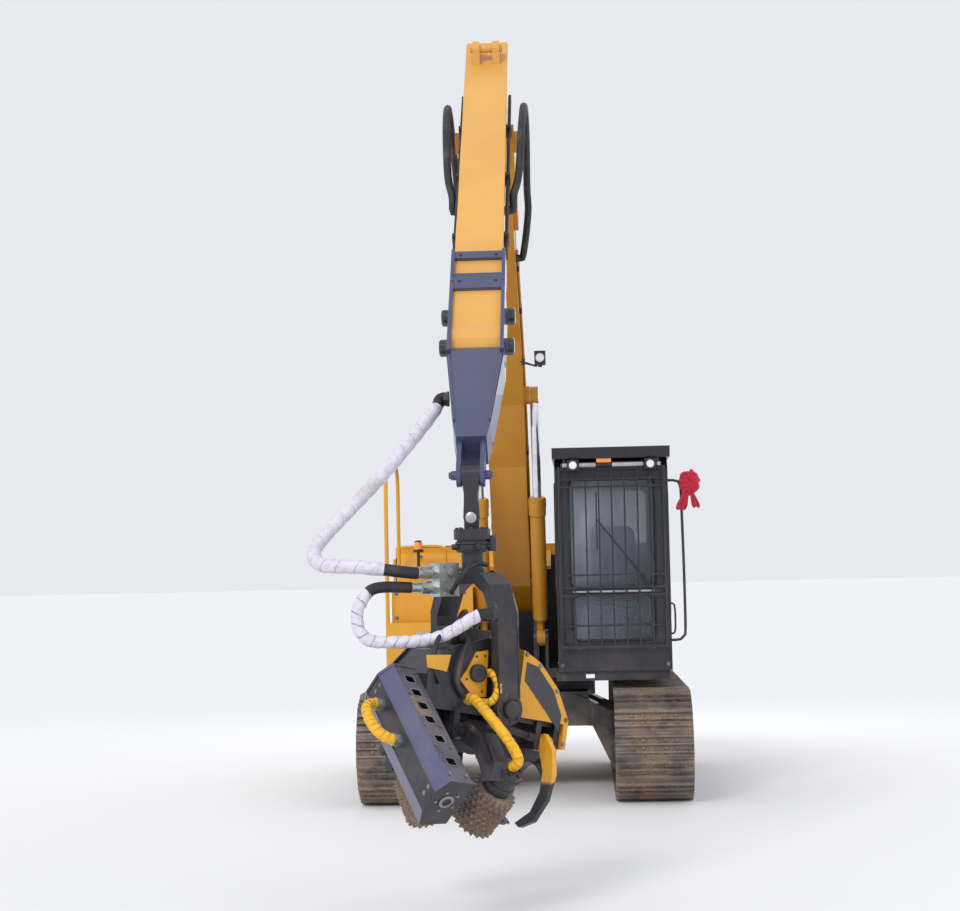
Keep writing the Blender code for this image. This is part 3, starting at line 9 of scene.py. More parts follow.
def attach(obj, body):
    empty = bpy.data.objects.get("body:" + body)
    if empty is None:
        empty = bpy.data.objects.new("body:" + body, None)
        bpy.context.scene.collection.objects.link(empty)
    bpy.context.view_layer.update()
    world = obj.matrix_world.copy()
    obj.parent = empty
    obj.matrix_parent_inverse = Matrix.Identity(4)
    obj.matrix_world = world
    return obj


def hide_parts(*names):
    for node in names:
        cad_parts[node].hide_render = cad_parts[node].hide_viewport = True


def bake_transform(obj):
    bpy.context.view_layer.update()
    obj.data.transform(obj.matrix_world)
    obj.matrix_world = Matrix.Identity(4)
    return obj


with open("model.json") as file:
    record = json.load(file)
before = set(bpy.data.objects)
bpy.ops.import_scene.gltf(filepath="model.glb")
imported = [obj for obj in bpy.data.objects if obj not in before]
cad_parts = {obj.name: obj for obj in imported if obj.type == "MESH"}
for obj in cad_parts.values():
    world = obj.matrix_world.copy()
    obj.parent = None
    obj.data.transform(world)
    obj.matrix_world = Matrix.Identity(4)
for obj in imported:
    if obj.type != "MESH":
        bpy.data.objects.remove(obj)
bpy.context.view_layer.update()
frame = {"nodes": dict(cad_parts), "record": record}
nodes = frame["nodes"]
joints = {joint["name"]: joint for joint in frame["record"]["behaviour"]["joints"]}
print("frame loaded:", len(nodes), "nodes")

# frames of the moving members, read from the joints


def basis(x, y, z, origin):
    matrix = Matrix.Identity(4)
    for column, axis in enumerate((x, y, z)):
        for row in range(3):
            matrix[row][column] = axis[row]
    matrix.translation = origin
    return matrix


def jointPlace(name):
    return Vector(joints[name]["pos_m"])


swing = jointPlace("swing")
boomPlane = jointPlace("head_rotate").x
footPin = jointPlace("boom_hinge")
stickPin = jointPlace("stick_hinge")
crossPin = jointPlace("link_pitch")
tiltPin = jointPlace("head_tilt")
footPin.x = stickPin.x = crossPin.x = boomPlane


def memberFrame(start, end):
    along = (start - end).normalized()      # local +Y points back towards the start
    return basis(Vector((1, 0, 0)), along, Vector((1, 0, 0)).cross(along), start)


boomFrame = memberFrame(footPin, stickPin)
stickFrame = memberFrame(stickPin, crossPin)
headX = Vector(joints["saw_swing"]["axis"]).normalized()
headY = Vector(joints["head_tilt"]["axis"]).normalized()
headFrame = basis(headX, headY, headX.cross(headY), tiltPin)
yokeX = headY.cross(Vector((0, 0, 1))).normalized()
yokeFrame = basis(yokeX, headY, Vector((0, 0, 1)), tiltPin)
upperFrame = Matrix.Translation((swing.x, swing.y, 0))
linkFrame = Matrix.Translation(crossPin)
swivelFrame = Matrix.Translation((boomPlane, jointPlace("link_roll").y, 0))

# studio and camera

studio = {"floor": (0.86, 0.86, 0.87), "sky": 0.86, "key": 1.15, "fill": 60.0, "rim": 120.0}
cameraPlace = {"offset": (0.4806, -16.5797), "height": 1.7553, "turn": 3.0, "rise": 3.66, "roll": -1.2,
               "lens": 71.8}


def addCamera():
    data = bpy.data.cameras.new("camera")
    data.lens = cameraPlace["lens"]
    data.sensor_width = 36.0
    data.clip_end = 900.0
    camera = bpy.data.objects.new("camera", data)
    bpy.context.scene.collection.objects.link(camera)
    turn, rise, roll = (radians(cameraPlace[key]) for key in ("turn", "rise", "roll"))
    place = Vector((swing.x + cameraPlace["offset"][0], swing.y + cameraPlace["offset"][1],
                    cameraPlace["height"]))
    camera.matrix_world = (Matrix.Translation(place) @ Matrix.Rotation(turn, 4, "Z")
                           @ Matrix.Rotation(pi / 2 + rise, 4, "X") @ Matrix.Rotation(roll, 4, "Z"))
    bpy.context.scene.camera = camera


def addLight(name, kind, place, target, energy, size, colour=(1, 1, 1)):
    data = bpy.data.lights.new(name, kind)
    data.energy = energy
    data.color = colour
    if kind == "AREA":
        data.size = size
    else:
        data.angle = size
    lamp = bpy.data.objects.new(name, data)
    lamp.location = place
    lamp.rotation_euler = (Vector(target) - Vector(place)).to_track_quat("-Z", "Y").to_euler()
    bpy.context.scene.collection.objects.link(lamp)


def addStudio():
    world = bpy.data.worlds.new("studio")
    world.use_nodes = True
    world.node_tree.nodes["Background"].inputs["Color"].default_value = (0.93, 0.95, 1.0, 1)
    world.node_tree.nodes["Background"].inputs["Strength"].default_value = studio["sky"]
    bpy.context.scene.world = world
    bpy.context.scene.view_settings.view_transform = "Standard"
    addLight("key", "SUN", (-6, -12, 12), (0, 0, 1.5), studio["key"], 0.35, (1.0, 0.98, 0.94))
    addLight("fill", "AREA", (7, -9, 5), (0, 0, 1.5), studio["fill"], 6.0)
    addLight("rim", "AREA", (0, 9, 7), (0, 0, 2.0), studio["rim"], 7.0)
    mesh = bpy.data.meshes.new("floor")
    half = 400.0
    mesh.from_pydata([(-half, -half, 0), (half, -half, 0), (half, half, 0), (-half, half, 0)], [],
                     [(0, 1, 2, 3)])
    ground = bpy.data.objects.new("floor", mesh)
    ground.location.z = -0.002
    mat = bpy.data.materials.new("floor")
    mat.use_nodes = True
    mat.node_tree.nodes["Principled BSDF"].inputs["Base Color"].default_value = (*studio["floor"], 1)
    mat.node_tree.nodes["Principled BSDF"].inputs["Roughness"].default_value = 0.8
    mesh.materials.append(mat)
    bpy.context.scene.collection.objects.link(ground)


addCamera()
addStudio()
print("studio ready")

# materials


class Value:
    # a socket that takes part in arithmetic
    def __init__(self, shader, socket):
        self.shader = shader
        self.socket = socket

    def maths(self, operation, first, second):
        node = self.shader.add("ShaderNodeMath", {"operation": operation}, {0: first, 1: second})
        return Value(self.shader, node.outputs[0])

    def __add__(self, other):
        return self.maths("ADD", self, other)

    def __radd__(self, other):
        return self.maths("ADD", other, self)

    def __sub__(self, other):
        return self.maths("SUBTRACT", self, other)

    def __rsub__(self, other):
        return self.maths("SUBTRACT", other, self)

    def __mul__(self, other):
        return self.maths("MULTIPLY", self, other)

    def __rmul__(self, other):
        return self.maths("MULTIPLY", other, self)

    def __truediv__(self, other):
        return self.maths("DIVIDE", self, other)

    def __pow__(self, other):
        return self.maths("POWER", self, other)

    def clamp(self):
        node = self.shader.add("ShaderNodeClamp", {}, {"Value": self})
        return Value(self.shader, node.outputs[0])

    def ramp(self, low, high):
        node = self.shader.add("ShaderNodeMapRange", {"interpolation_type": "SMOOTHSTEP"},
                               {"Value": self, "From Min": low, "From Max": high})
        return Value(self.shader, node.outputs[0])


class Shader:
    def __init__(self, name):
        self.material = bpy.data.materials.new(name)
        self.material.use_nodes = True
        self.tree = self.material.node_tree
        self.surface = self.tree.nodes["Principled BSDF"]
        self.coords = self.add("ShaderNodeTexCoord", {}, {})

    def add(self, kind, settings, sockets):
        node = self.tree.nodes.new(kind)
        for key, value in settings.items():
            setattr(node, key, value)
        for key, value in sockets.items():
            self.feed(node.inputs[key], value)
        return node

    def feed(self, socket, value):
        if isinstance(value, Value):
            self.tree.links.new(value.socket, socket)
        elif isinstance(value, bpy.types.NodeSocket):
            self.tree.links.new(value, socket)
        else:
            socket.default_value = value

    def grain(self, scale, detail=4.0, stretch=(1, 1, 1), source="Object", roughness=0.55):
        mapping = self.add("ShaderNodeMapping", {},
                           {"Vector": self.coords.outputs[source], "Scale": stretch})
        node = self.add("ShaderNodeTexNoise", {},
                        {"Vector": mapping.outputs[0], "Scale": scale, "Detail": detail,
                                                   "Roughness": roughness})
        return Value(self, node.outputs["Fac"])

    def cells(self, scale, stretch=(1, 1, 1), feature="F1"):
        mapping = self.add("ShaderNodeMapping", {},
                           {"Vector": self.coords.outputs["Object"], "Scale": stretch})
        node = self.add("ShaderNodeTexVoronoi", {"feature": feature},
                        {"Vector": mapping.outputs[0], "Scale": scale})
        return Value(self, node.outputs["Distance"])

    def axis(self, letter, source="Object"):
        node = self.add("ShaderNodeSeparateXYZ", {}, {0: self.coords.outputs[source]})
        return Value(self, node.outputs[letter])

    def mix(self, amount, first, second):
        node = self.add("ShaderNodeMix", {"data_type": "RGBA"},
                        {0: amount, 6: self.colour(first), 7: self.colour(second)})
        return Value(self, node.outputs[2])

    def colour(self, value):
        return (*value, 1.0) if isinstance(value, tuple) and len(value) == 3 else value

    def bump(self, height, strength, distance):
        node = self.add("ShaderNodeBump", {}, {"Height": height, "Strength": strength, "Distance": distance})
        self.feed(self.surface.inputs["Normal"], node.outputs[0])

    def done(self, **sockets):
        names = {"base": "Base Color", "rough": "Roughness", "metal": "Metallic", "coat": "Coat Weight",
                 "coatRough": "Coat Roughness", "alpha": "Alpha", "sheen": "Sheen Weight",
                 "glow": "Emission Strength",
                 "glowColour": "Emission Color", "clear": "Transmission Weight",
                 "specular": "Specular IOR Level"}
        for key, value in sockets.items():
            self.feed(self.surface.inputs[names[key]], self.colour(value))
        return self.material


dustTone = (0.36, 0.27, 0.18)
mudTone = (0.20, 0.14, 0.10)


def paint(name, base, shade, rough=0.38, dust=0.35, mudTop=0.0, coat=0.35, peel=0.03):
    # machine paint: slow colour drift, dust that gathers low down, chips and a slight orange peel
    s = Shader(name)
    drift = s.grain(0.9, 3.0)
    patch = s.grain(5.5, 6.0)
    fine = s.grain(60.0, 3.0)
    streak = s.grain(7.0, 4.0, (6, 6, 0.5))
    body = s.mix(drift.ramp(0.35, 0.7) * 0.8, base, shade)
    height = 1 - s.axis("Z").ramp(0.2, 2.6)
    film = (patch.ramp(0.42, 0.75) * 0.7 + streak.ramp(0.5, 0.8) * 0.5) * (height * 0.8 + 0.2) * dust
    body = s.mix(film.clamp(), body, dustTone)
    chips = (s.cells(38.0) + fine * 0.25).ramp(0.10, 0.06) * s.grain(2.2, 2.0).ramp(0.58, 0.7)
    body = s.mix(chips.clamp() * 0.6, body, (0.16, 0.11, 0.08))
    if mudTop:
        mud = (1 - s.axis("Z").ramp(mudTop * 0.35, mudTop)) * patch.ramp(0.36, 0.6)
        body = s.mix(mud.clamp(), body, mudTone)
    s.bump(fine * 0.6 + patch * 0.4, peel, 0.004)
    return s.done(base=body, rough=(patch * 0.18 + film * 0.5 + (rough - 0.08)).clamp(), coat=coat)


def knifePaint(name, yellow, dark, edge):
    s = Shader(name)
    fine = s.grain(60.0, 3.0)
    patch = s.grain(6.0, 5.0)
    low = 1 - (s.axis("Z") + patch * 0.05 - 0.025).ramp(edge - 0.012, edge + 0.012)
    body = s.mix(patch.ramp(0.4, 0.7) * 0.6, yellow, (0.62, 0.27, 0.012))
    body = s.mix((patch.ramp(0.52, 0.72) * 0.5).clamp(), body, dustTone)
    body = s.mix(low.clamp(), body, dark)
    s.bump(fine * 0.6 + patch * 0.4, 0.06, 0.004)
    return s.done(base=body, rough=(patch * 0.2 + 0.34), coat=0.3)


def metal(name, base, shade, rough=0.45, metallic=0.7, grit=0.12, mud=0.0):
    s = Shader(name)
    patch = s.grain(7.0, 6.0)
    fine = s.grain(90.0, 4.0)
    body = s.mix(patch.ramp(0.35, 0.7), base, shade)
    if mud:
        cake = s.grain(4.0, 8.0).ramp(0.62 - mud * 0.4, 0.78 - mud * 0.3)
        body = s.mix(cake, body, s.mix(fine.ramp(0.35, 0.65), mudTone, (0.33, 0.25, 0.18)))
        s.bump(fine * 0.5 + cake + patch * 0.6, 0.6, 0.012)
        return s.done(base=body, rough=(cake * 0.4 + rough).clamp(), metal=(1 - cake) * metallic)
    s.bump(fine * 0.6 + patch * 0.4, grit, 0.003)
    return s.done(base=body, rough=(patch * 0.25 + (rough - 0.1)).clamp(), metal=metallic)


def wrapped(name, base, shade, gap, turns, gapShare=0.10, creases=0.5):
    # spiral wrap: u runs once round the hose and v along it in metres
    s = Shader(name)
    wander = s.grain(9.0, 3.0) * 0.9
    turn = s.axis("Y", "UV") * turns + s.axis("X", "UV") + wander
    tooth = Value(s, s.add("ShaderNodeMath", {"operation": "FRACT"}, {0: turn}).outputs[0])
    seam = (1 - tooth.ramp(0.0, gapShare)) * s.grain(3.5, 2.0).ramp(0.35, 0.6)
    fold = s.grain(34.0, 6.0)
    body = s.mix(fold.ramp(0.4, 0.75) * 0.7, base, shade)
    body = s.mix((s.grain(3.0, 5.0).ramp(0.5, 0.8) * 0.45).clamp(), body, dustTone)
    body = s.mix((seam * creases).clamp(), body, gap)
    s.bump(tooth * 0.6 + fold * 0.7, 0.5, 0.006)
    return s.done(base=body, rough=0.62)


def rubberLike(name, base, rough=0.55):
    s = Shader(name)
    fine = s.grain(140.0, 3.0)
    dusty = s.grain(6.0, 5.0).ramp(0.5, 0.8)
    s.bump(fine, 0.15, 0.002)
    return s.done(base=s.mix(dusty * 0.35, base, (0.22, 0.18, 0.15)),
                  rough=(fine * 0.2 + rough - 0.1).clamp())


def paneGlass(name):
    s = Shader(name)
    # blue-grey base with lighter patches: painted sky reflection; the same noise is also a real smear in
    # roughness and alpha
    smearAndReflection = s.grain(1.6, 2.0, (1, 1, 0.6))
    body = s.mix(smearAndReflection.ramp(0.35, 0.75), (0.10, 0.13, 0.18), (0.36, 0.41, 0.50))
    return s.done(base=body, rough=(smearAndReflection * 0.08 + 0.02), alpha=(smearAndReflection.ramp(0.35, 0.85) * 0.30 + 0.42),
                  specular=0.8)


def weave(name, base, shade, scale=420.0, strength=0.35):
    s = Shader(name)
    wave = s.add("ShaderNodeTexWave", {"wave_type": "BANDS", "bands_direction": "X"},
                 {"Vector": s.coords.outputs["Object"], "Scale": scale})
    cross = s.add("ShaderNodeTexWave", {"wave_type": "BANDS", "bands_direction": "Z"},
                  {"Vector": s.coords.outputs["Object"], "Scale": scale})
    thread = Value(s, wave.outputs["Fac"]) * 0.5 + Value(s, cross.outputs["Fac"]) * 0.5
    body = s.mix(thread, shade, base)
    body = s.mix(s.grain(12.0, 4.0).ramp(0.4, 0.8) * 0.5, body, shade)
    s.bump(thread, strength, 0.002)
    return s.done(base=body, rough=0.85, sheen=0.3)


def lens(name, base, glow=0.0):
    s = Shader(name)
    ribs = s.cells(160.0)
    s.bump(ribs, 0.25, 0.003)
    return s.done(base=s.mix(ribs, base, tuple(min(1.0, c * 1.5 + 0.05) for c in base)), rough=0.12,
                  coat=0.6,
                  glow=glow, glowColour=base)


finish = {
    "yellow": paint("yellowPanels", (0.78, 0.37, 0.012), (0.66, 0.29, 0.008), rough=0.36, dust=0.24,
                    coat=0.25),
    # boom paint: a darker copy of the panel yellow, painted shade for the boom's shadowed underside
    "boom": paint("boomShadedYellow", (0.56, 0.245, 0.008), (0.44, 0.18, 0.006), rough=0.38, dust=0.16, coat=0.2),
    # stick paint: a lighter, peach copy of the panel yellow, painted highlight and sky reflection on the
    # stick's upturned front
    "stick": paint("stickSkyLitYellow", (0.80, 0.42, 0.085), (0.68, 0.33, 0.055), rough=0.36, dust=0.14, coat=0.3),
    "black": paint("blackFrame", (0.012, 0.012, 0.021), (0.022, 0.021, 0.032), rough=0.42, dust=0.22,
                   coat=0.12),
    "cab": paint("cabNavy", (0.011, 0.011, 0.023), (0.019, 0.019, 0.034), rough=0.36, dust=0.14, coat=0.2),
    "slate": paint("slateBracket", (0.062, 0.072, 0.150), (0.046, 0.052, 0.115), rough=0.36, dust=0.14,
                   coat=0.35),
    "sawSlate": paint("sawBoxSlate", (0.085, 0.090, 0.190), (0.060, 0.063, 0.135), rough=0.34, dust=0.18,
                      coat=0.4),
    # dark copy of the saw box paint, painted shade for the box's shaded faces
    "sawPaintedShade": paint("sawBoxPaintedShade", (0.010, 0.010, 0.020), (0.020, 0.019, 0.032), rough=0.36, dust=0.18,
                     coat=0.2),
    "sawMud": metal("sawBoxWorn", (0.16, 0.15, 0.19), (0.09, 0.085, 0.11), rough=0.5, metallic=0.4,
                    grit=0.2, mud=0.30),
    "knife": knifePaint("knifeCastings", (0.82, 0.40, 0.025), (0.022, 0.021, 0.026), 0.66),
    "body": paint("carBodyBlack", (0.022, 0.021, 0.028), (0.04, 0.036, 0.04), rough=0.5, dust=0.6,
                  mudTop=0.75),
    "track": metal("trackSteel", (0.24, 0.20, 0.18), (0.12, 0.10, 0.09), rough=0.5, metallic=0.6, grit=0.2,
                   mud=0.55),
    "cast": metal("castParts", (0.035, 0.032, 0.036), (0.07, 0.06, 0.055), rough=0.5, metallic=0.4,
                  grit=0.2, mud=0.2),
    "chrome": metal("chromeRod", (0.80, 0.81, 0.83), (0.66, 0.67, 0.70), rough=0.16, metallic=1.0,
                    grit=0.02),
    "zinc": metal("zincFittings", (0.55, 0.56, 0.54), (0.36, 0.37, 0.35), rough=0.36, metallic=0.85,
                  grit=0.1),
    "bolt": metal("boltHeads", (0.30, 0.29, 0.29), (0.16, 0.15, 0.15), rough=0.4, metallic=0.8, grit=0.1),
    "bar": metal("barSteel", (0.5, 0.5, 0.52), (0.34, 0.33, 0.34), rough=0.3, metallic=0.95, grit=0.1),
    "rubber": rubberLike("hoseRubber", (0.016, 0.016, 0.020)),
    "whiteWrap": wrapped("whiteSleeve", (0.74, 0.70, 0.80), (0.52, 0.50, 0.60), (0.05, 0.05, 0.07), 11.0),
    "loopWrap": wrapped("looseSleeve", (0.74, 0.70, 0.80), (0.52, 0.50, 0.60), (0.02, 0.02, 0.03), 16.0,
                        0.17, 0.95),
    "yellowWrap": wrapped("yellowSpiral", (0.90, 0.48, 0.015), (0.66, 0.30, 0.01), (0.10, 0.05, 0.01), 33.4,
                          0.30, 0.95),
    "glass": paneGlass("windowGlass"),
    "cloth": weave("redCloth", (0.75, 0.008, 0.045), (0.40, 0.0, 0.02), 300.0),
    "seat": weave("seatCloth", (0.055, 0.055, 0.065), (0.02, 0.02, 0.025)),
    "lampGlass": lens("lampGlass", (0.80, 0.82, 0.86)),
    "amber": lens("amberLens", (0.85, 0.22, 0.01), 0.15),
    "blank": paint("decalBlack", (0.012, 0.012, 0.016), (0.02, 0.02, 0.026), rough=0.28, dust=0.12,
                   coat=0.7),
    "plastic": rubberLike("moulding", (0.03, 0.03, 0.034), 0.45),
    "grille": metal("grilleSteel", (0.05, 0.05, 0.055), (0.09, 0.085, 0.085), rough=0.55, metallic=0.3),
}
print("materials:", len(finish))

# mesh helpers


def finishObject(obj, tone, body=None, smooth=35.0):
    obj.data.materials.clear()
    obj.data.materials.append(finish[tone])
    obj.data.shade_smooth()
    obj.data.set_sharp_from_angle(angle=radians(smooth))
    if body:
        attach(obj, body)
    return obj


def fromMesh(name, bm, tone, body=None, place=None, smooth=35.0, bevel=0.0):
    if place is not None:
        bm.transform(place)
    bmesh.ops.recalc_face_normals(bm, faces=bm.faces)
    if bevel:
        sharp = [edge for edge in bm.edges if len(edge.link_faces) == 2 and edge.calc_face_angle(0) > 0.6]
        bmesh.ops.bevel(bm, geom=sharp, offset=bevel, segments=2, profile=0.7, affect="EDGES")
    mesh = bpy.data.meshes.new(name)
    bm.to_mesh(mesh)
    bm.free()
    obj = bpy.data.objects.new(name, mesh)
    bpy.context.scene.collection.objects.link(obj)
    return finishObject(obj, tone, body, smooth)


def addBox(bm, low, high):
    low, high = Vector(low), Vector(high)
    made = bmesh.ops.create_cube(bm, size=1.0)["verts"]
    bmesh.ops.scale(bm, vec=high - low, verts=made)
    bmesh.ops.translate(bm, vec=(low + high) / 2, verts=made)
    return made


def addRod(bm, start, end, radius, segments=20, endRadius=None):
    start, end = Vector(start), Vector(end)
    turn = Vector((0, 0, 1)).rotation_difference(end - start).to_matrix().to_4x4()
    made = bmesh.ops.create_cone(bm, cap_ends=True, segments=segments, radius1=radius,
                                 radius2=radius if endRadius is None else endRadius,
                                 depth=(end - start).length)
    bmesh.ops.transform(bm, matrix=Matrix.Translation((start + end) / 2) @ turn, verts=made["verts"])
    return made["verts"]


def addLathe(bm, profile, origin, axis, segments=28):
    turn = Vector((0, 0, 1)).rotation_difference(Vector(axis)).to_matrix().to_4x4()
    place = Matrix.Translation(origin) @ turn
    rings = []
    for radius, height in profile:
        if radius < 1e-6:
            rings.append([bm.verts.new(place @ Vector((0, 0, height)))])
        else:
            rings.append([bm.verts.new(place @ Vector((radius * cos(a), radius * sin(a), height)))
                          for a in (2 * pi * i / segments for i in range(segments))])
    for low, high in zip(rings, rings[1:]):
        for i in range(segments):
            j = (i + 1) % segments
            face = [low[i % len(low)], low[j % len(low)], high[j % len(high)], high[i % len(high)]]
            bm.faces.new(list(dict.fromkeys(face)))


def addPlate(bm, outline, low, high, plane="YZ"):
    # an outline in a plane, given thickness along the third axis
    order = {"YZ": lambda u, v, w: (w, u, v), "XZ": lambda u, v, w: (u, w, v), "XY": lambda u, v,
             w: (u, v, w)}[plane]
    lower = [bm.verts.new(order(u, v, low)) for u, v in outline]
    upper = [bm.verts.new(order(u, v, high)) for u, v in outline]
    bm.faces.new(lower)
    bm.faces.new(list(reversed(upper)))
    for i in range(len(outline)):
        j = (i + 1) % len(outline)
        bm.faces.new([lower[j], lower[i], upper[i], upper[j]])


def smoothRoute(points, step):
    points = [Vector(p) for p in points]
    ahead = points[1:] + [2 * points[-1] - points[-2]]
    behind = [2 * points[0] - points[1]] + points[:-1]
    tangents = [(a - b) / 6 for a, b in zip(ahead, behind)]
    line = [points[0]]
    for i in range(len(points) - 1):
        count = max(2, ceil((points[i + 1] - points[i]).length / step) + 1)
        line += interpolate_bezier(points[i], points[i] + tangents[i],
                                   points[i + 1] - tangents[i + 1], points[i + 1], count)[1:]
    return line


def routeLength(line):
    return sum((b - a).length for a, b in zip(line, line[1:]))


def sweep(bm, line, radiusAt, segments=20):
    # a closed tube on a line, with u round it and v along it in metres
    layer = bm.loops.layers.uv.verify()
    side = (line[1] - line[0]).orthogonal().normalized()
    rings, travelled = [], 0.0
    for i, point in enumerate(line):
        if i:
            travelled += (point - line[i - 1]).length
        way = (line[min(i + 1, len(line) - 1)] - line[max(i - 1, 0)]).normalized()
        side = (side - way * side.dot(way)).normalized()
        other = way.cross(side)
        ring = []
        for k in range(segments):
            angle = 2 * pi * k / segments
            ring.append(bm.verts.new(point + (side * cos(angle) + other * sin(angle)) * radiusAt(travelled,
                                                                                                 angle)))
        rings.append((ring, travelled))
    for (low, vLow), (high, vHigh) in zip(rings, rings[1:]):
        for k in range(segments):
            j = (k + 1) % segments
            face = bm.faces.new([low[k], low[j], high[j], high[k]])
            for loop, uv in zip(face.loops, ((k, vLow), (k + 1, vLow), (k + 1, vHigh), (k, vHigh))):
                loop[layer].uv = (uv[0] / segments, uv[1])
    bm.faces.new(list(reversed(rings[0][0])))
    bm.faces.new(rings[-1][0])


# hoses: the routes repeat the frame's

hoseSizes = {"stick": 0.026, "supply": 0.040, "loop": 0.036, "yellow": 0.030}
manifold = {"face": -0.20, "side": 0.08, "supply": 1.79, "loop": 1.71}
sawBox = {"lean": 48.8, "face": -0.185, "seats": (0.16, 0.42), "end": -0.4753, "side": 0.038,
          "top": 0.033, "length": 0.85}
gap = 0.0003


def local(matrix, x, y, z):
    return matrix @ Vector((x, y, z))


def m(x, y, z):
    return Vector((x + swing.x, y + swing.y, z))


def squareEnds(line, first, last):
    for end, inward, start, toward in ((0, 1, *first), (-1, -2, *last)):
        way = (Vector(toward) - Vector(start)).normalized()
        line[inward] = line[end] + way * (line[inward] - line[end]).length
    return line


def declare(line):
    round(routeLength(line), 3)


def wrapRadius(radius, pitch, depth, seed):
    # overlapping turns of wrap, each pulled in at its edge, with slack folds
    def at(v, angle):
        turn = v / pitch + angle / (2 * pi) + 0.35 * noise.noise(Vector((v * 3.0, seed, 0)))
        edge = turn - floor(turn)
        fold = noise.noise(Vector((v * 22.0, cos(angle) * 1.4 + seed, sin(angle) * 1.4)))
        return radius - depth * (1 - edge) ** 3 - depth * 0.35 * (0.5 + 0.5 * fold)
    return at


def hosePiece(name, line, radius, tone, radiusAt, zones=(), segments=22):
    # zones are stretches of another finish and thickness: (from, to, finish, share of the radius)
    def at(v, angle):
        for first, last, _, share in zones:
            if first <= v <= last:
                return radius * share
        return radiusAt(v, angle)
    bm = bmesh.new()
    sweep(bm, line, at, segments)
    obj = fromMesh(name, bm, tone, smooth=60.0)
    for index, (first, last, other, share) in enumerate(zones):
        obj.data.materials.append(finish[other])
        layer = obj.data.uv_layers[0].data
        for face in obj.data.polygons:
            middle = sum(layer[i].uv[1] for i in face.loop_indices) / len(face.loop_indices)
            if len(face.vertices) == 4 and first <= middle <= last:
                face.material_index = index + 1
    declare(line)
    return obj


def stickHoses():
    for side, word in ((1, "left"), (-1, "right")):
        x = side * 0.255
        boomSide = local(boomFrame, side * (0.15 + gap), -3.40, 0.26)
        stickSide = local(stickFrame, side * (0.145 + gap), -0.98, 0.03)
        out = Vector((side * 0.05, 0, 0))
        far = Vector((boomPlane + x, 0, 0))
        lean = Vector((side * 0.01, 0, 0))
        route = [boomSide, boomSide + out]
        for y, z, shift in ((-2.62, 4.42, 0), (-2.74, 4.60, 0), (-3.06, 4.90, 1), (-3.45, 5.02, 1),
                            (-3.82, 4.80, 0),
                            (-4.05, 4.42, -2)):
            route.append(far + lean * shift + Vector((0, y + swing.y, z)))
        route += [stickSide + out * 1.1 + Vector((0, 0.01, 0.10)), stickSide + out, stickSide]
        line = squareEnds(smoothRoute(route, 0.045), (route[0], route[1]), (route[-1], route[-2]))
        radius = hoseSizes["stick"]
        obj = hosePiece(word + "StickHose", line, radius, "rubber", lambda v, a: radius, (), 16)
        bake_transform(obj)
        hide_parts(word + "_stick_hose")


def supplyHose():
    start = local(stickFrame, -0.148, -2.985, -0.02)
    port = local(yokeFrame, manifold["face"] - gap, manifold["side"], manifold["supply"] - tiltPin.z)
    away = yokeX * -1
    route = [start, start + Vector((-0.05, 0, 0)), m(-0.36, -5.72, 2.69), m(-0.616, -5.95, 2.348),
             m(-0.93, -6.2, 1.989), m(-0.965, -6.30, 1.89), m(-0.904, -6.38, 1.840), m(-0.699, -6.42, 1.826),
             port + away * 0.14, port]
    line = squareEnds(smoothRoute(route, 0.02), (route[0], route[1]), (route[-1], route[-2]))
    radius = hoseSizes["supply"]
    whole = len(line)
    cuts = (0, int(whole * 0.34), int(whole * 0.67), whole - 1)
    far = routeLength(line[cuts[2]:]) - 0.30
    stretches = (("supplyHoseTop", "stick_arm", "link", ((0.0, 0.13, "rubber", 0.86),)),
                 ("supplyHoseMiddle", "link", "swivel", ()),
                 ("supplyHoseEnd", "swivel", "hanger", ((far, far + 0.19, "rubber", 0.82),
                                                        (far + 0.19, far + 0.4, "zinc", 0.66))))
    for index, (name, above, below, zones) in enumerate(stretches):
        part = line[cuts[index]:cuts[index + 1] + 1]
        obj = hosePiece(name, part, radius, "whiteWrap", wrapRadius(radius, 0.09, 0.005, index), zones)
        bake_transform(obj)
        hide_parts("supply_hose")


def loopHose():
    port = local(yokeFrame, manifold["face"] - gap, manifold["side"], manifold["loop"] - tiltPin.z)
    end = local(yokeFrame, -0.07 - gap, -0.2725, 1.56 - tiltPin.z)
    away = yokeX * -1
    route = [port, port + away * 0.10, m(-0.62, -6.46, 1.712), m(-0.699, -6.49, 1.63),
             m(-0.715, -6.5, 1.554),
             m(-0.690, -6.5, 1.470), m(-0.60, -6.5, 1.430), m(-0.30, -6.5, 1.445), end + away * 0.10, end]
    line = squareEnds(smoothRoute(route, 0.02), (route[0], route[1]), (route[-1], route[-2]))
    radius = hoseSizes["loop"]
    far = routeLength(line)
    zones = ((0.0, 0.15, "zinc", 0.66), (0.15, 0.40, "rubber", 0.84), (far - 0.10, far + 0.1, "rubber", 0.8))
    obj = hosePiece("loopHose", line, radius, "loopWrap", wrapRadius(radius, 0.06, 0.007, 7), zones)
    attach(obj, "hanger")
    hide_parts("loop_hose")


headSize = {"side": 0.19, "cover": 0.2353, "armPivot": (0.17, -0.14), "armX": -0.16, "knifeX": 0.345,
            "roller": (0.085, 0.25, -0.22), "rollerLength": 0.26, "rollerRadius": 0.125, "motorHalf": 0.075,
            "rollerLean": (0.685, 0.728)}


def sawFrame():
    lean = radians(sawBox["lean"])
    matrix = basis(Vector((1, 0, 0)), Vector((0, -cos(lean), sin(lean))),
                   Vector((0, -sin(lean), -cos(lean))),
                   Vector((sawBox["end"], sawBox["side"], sawBox["top"])))
    return headFrame @ matrix


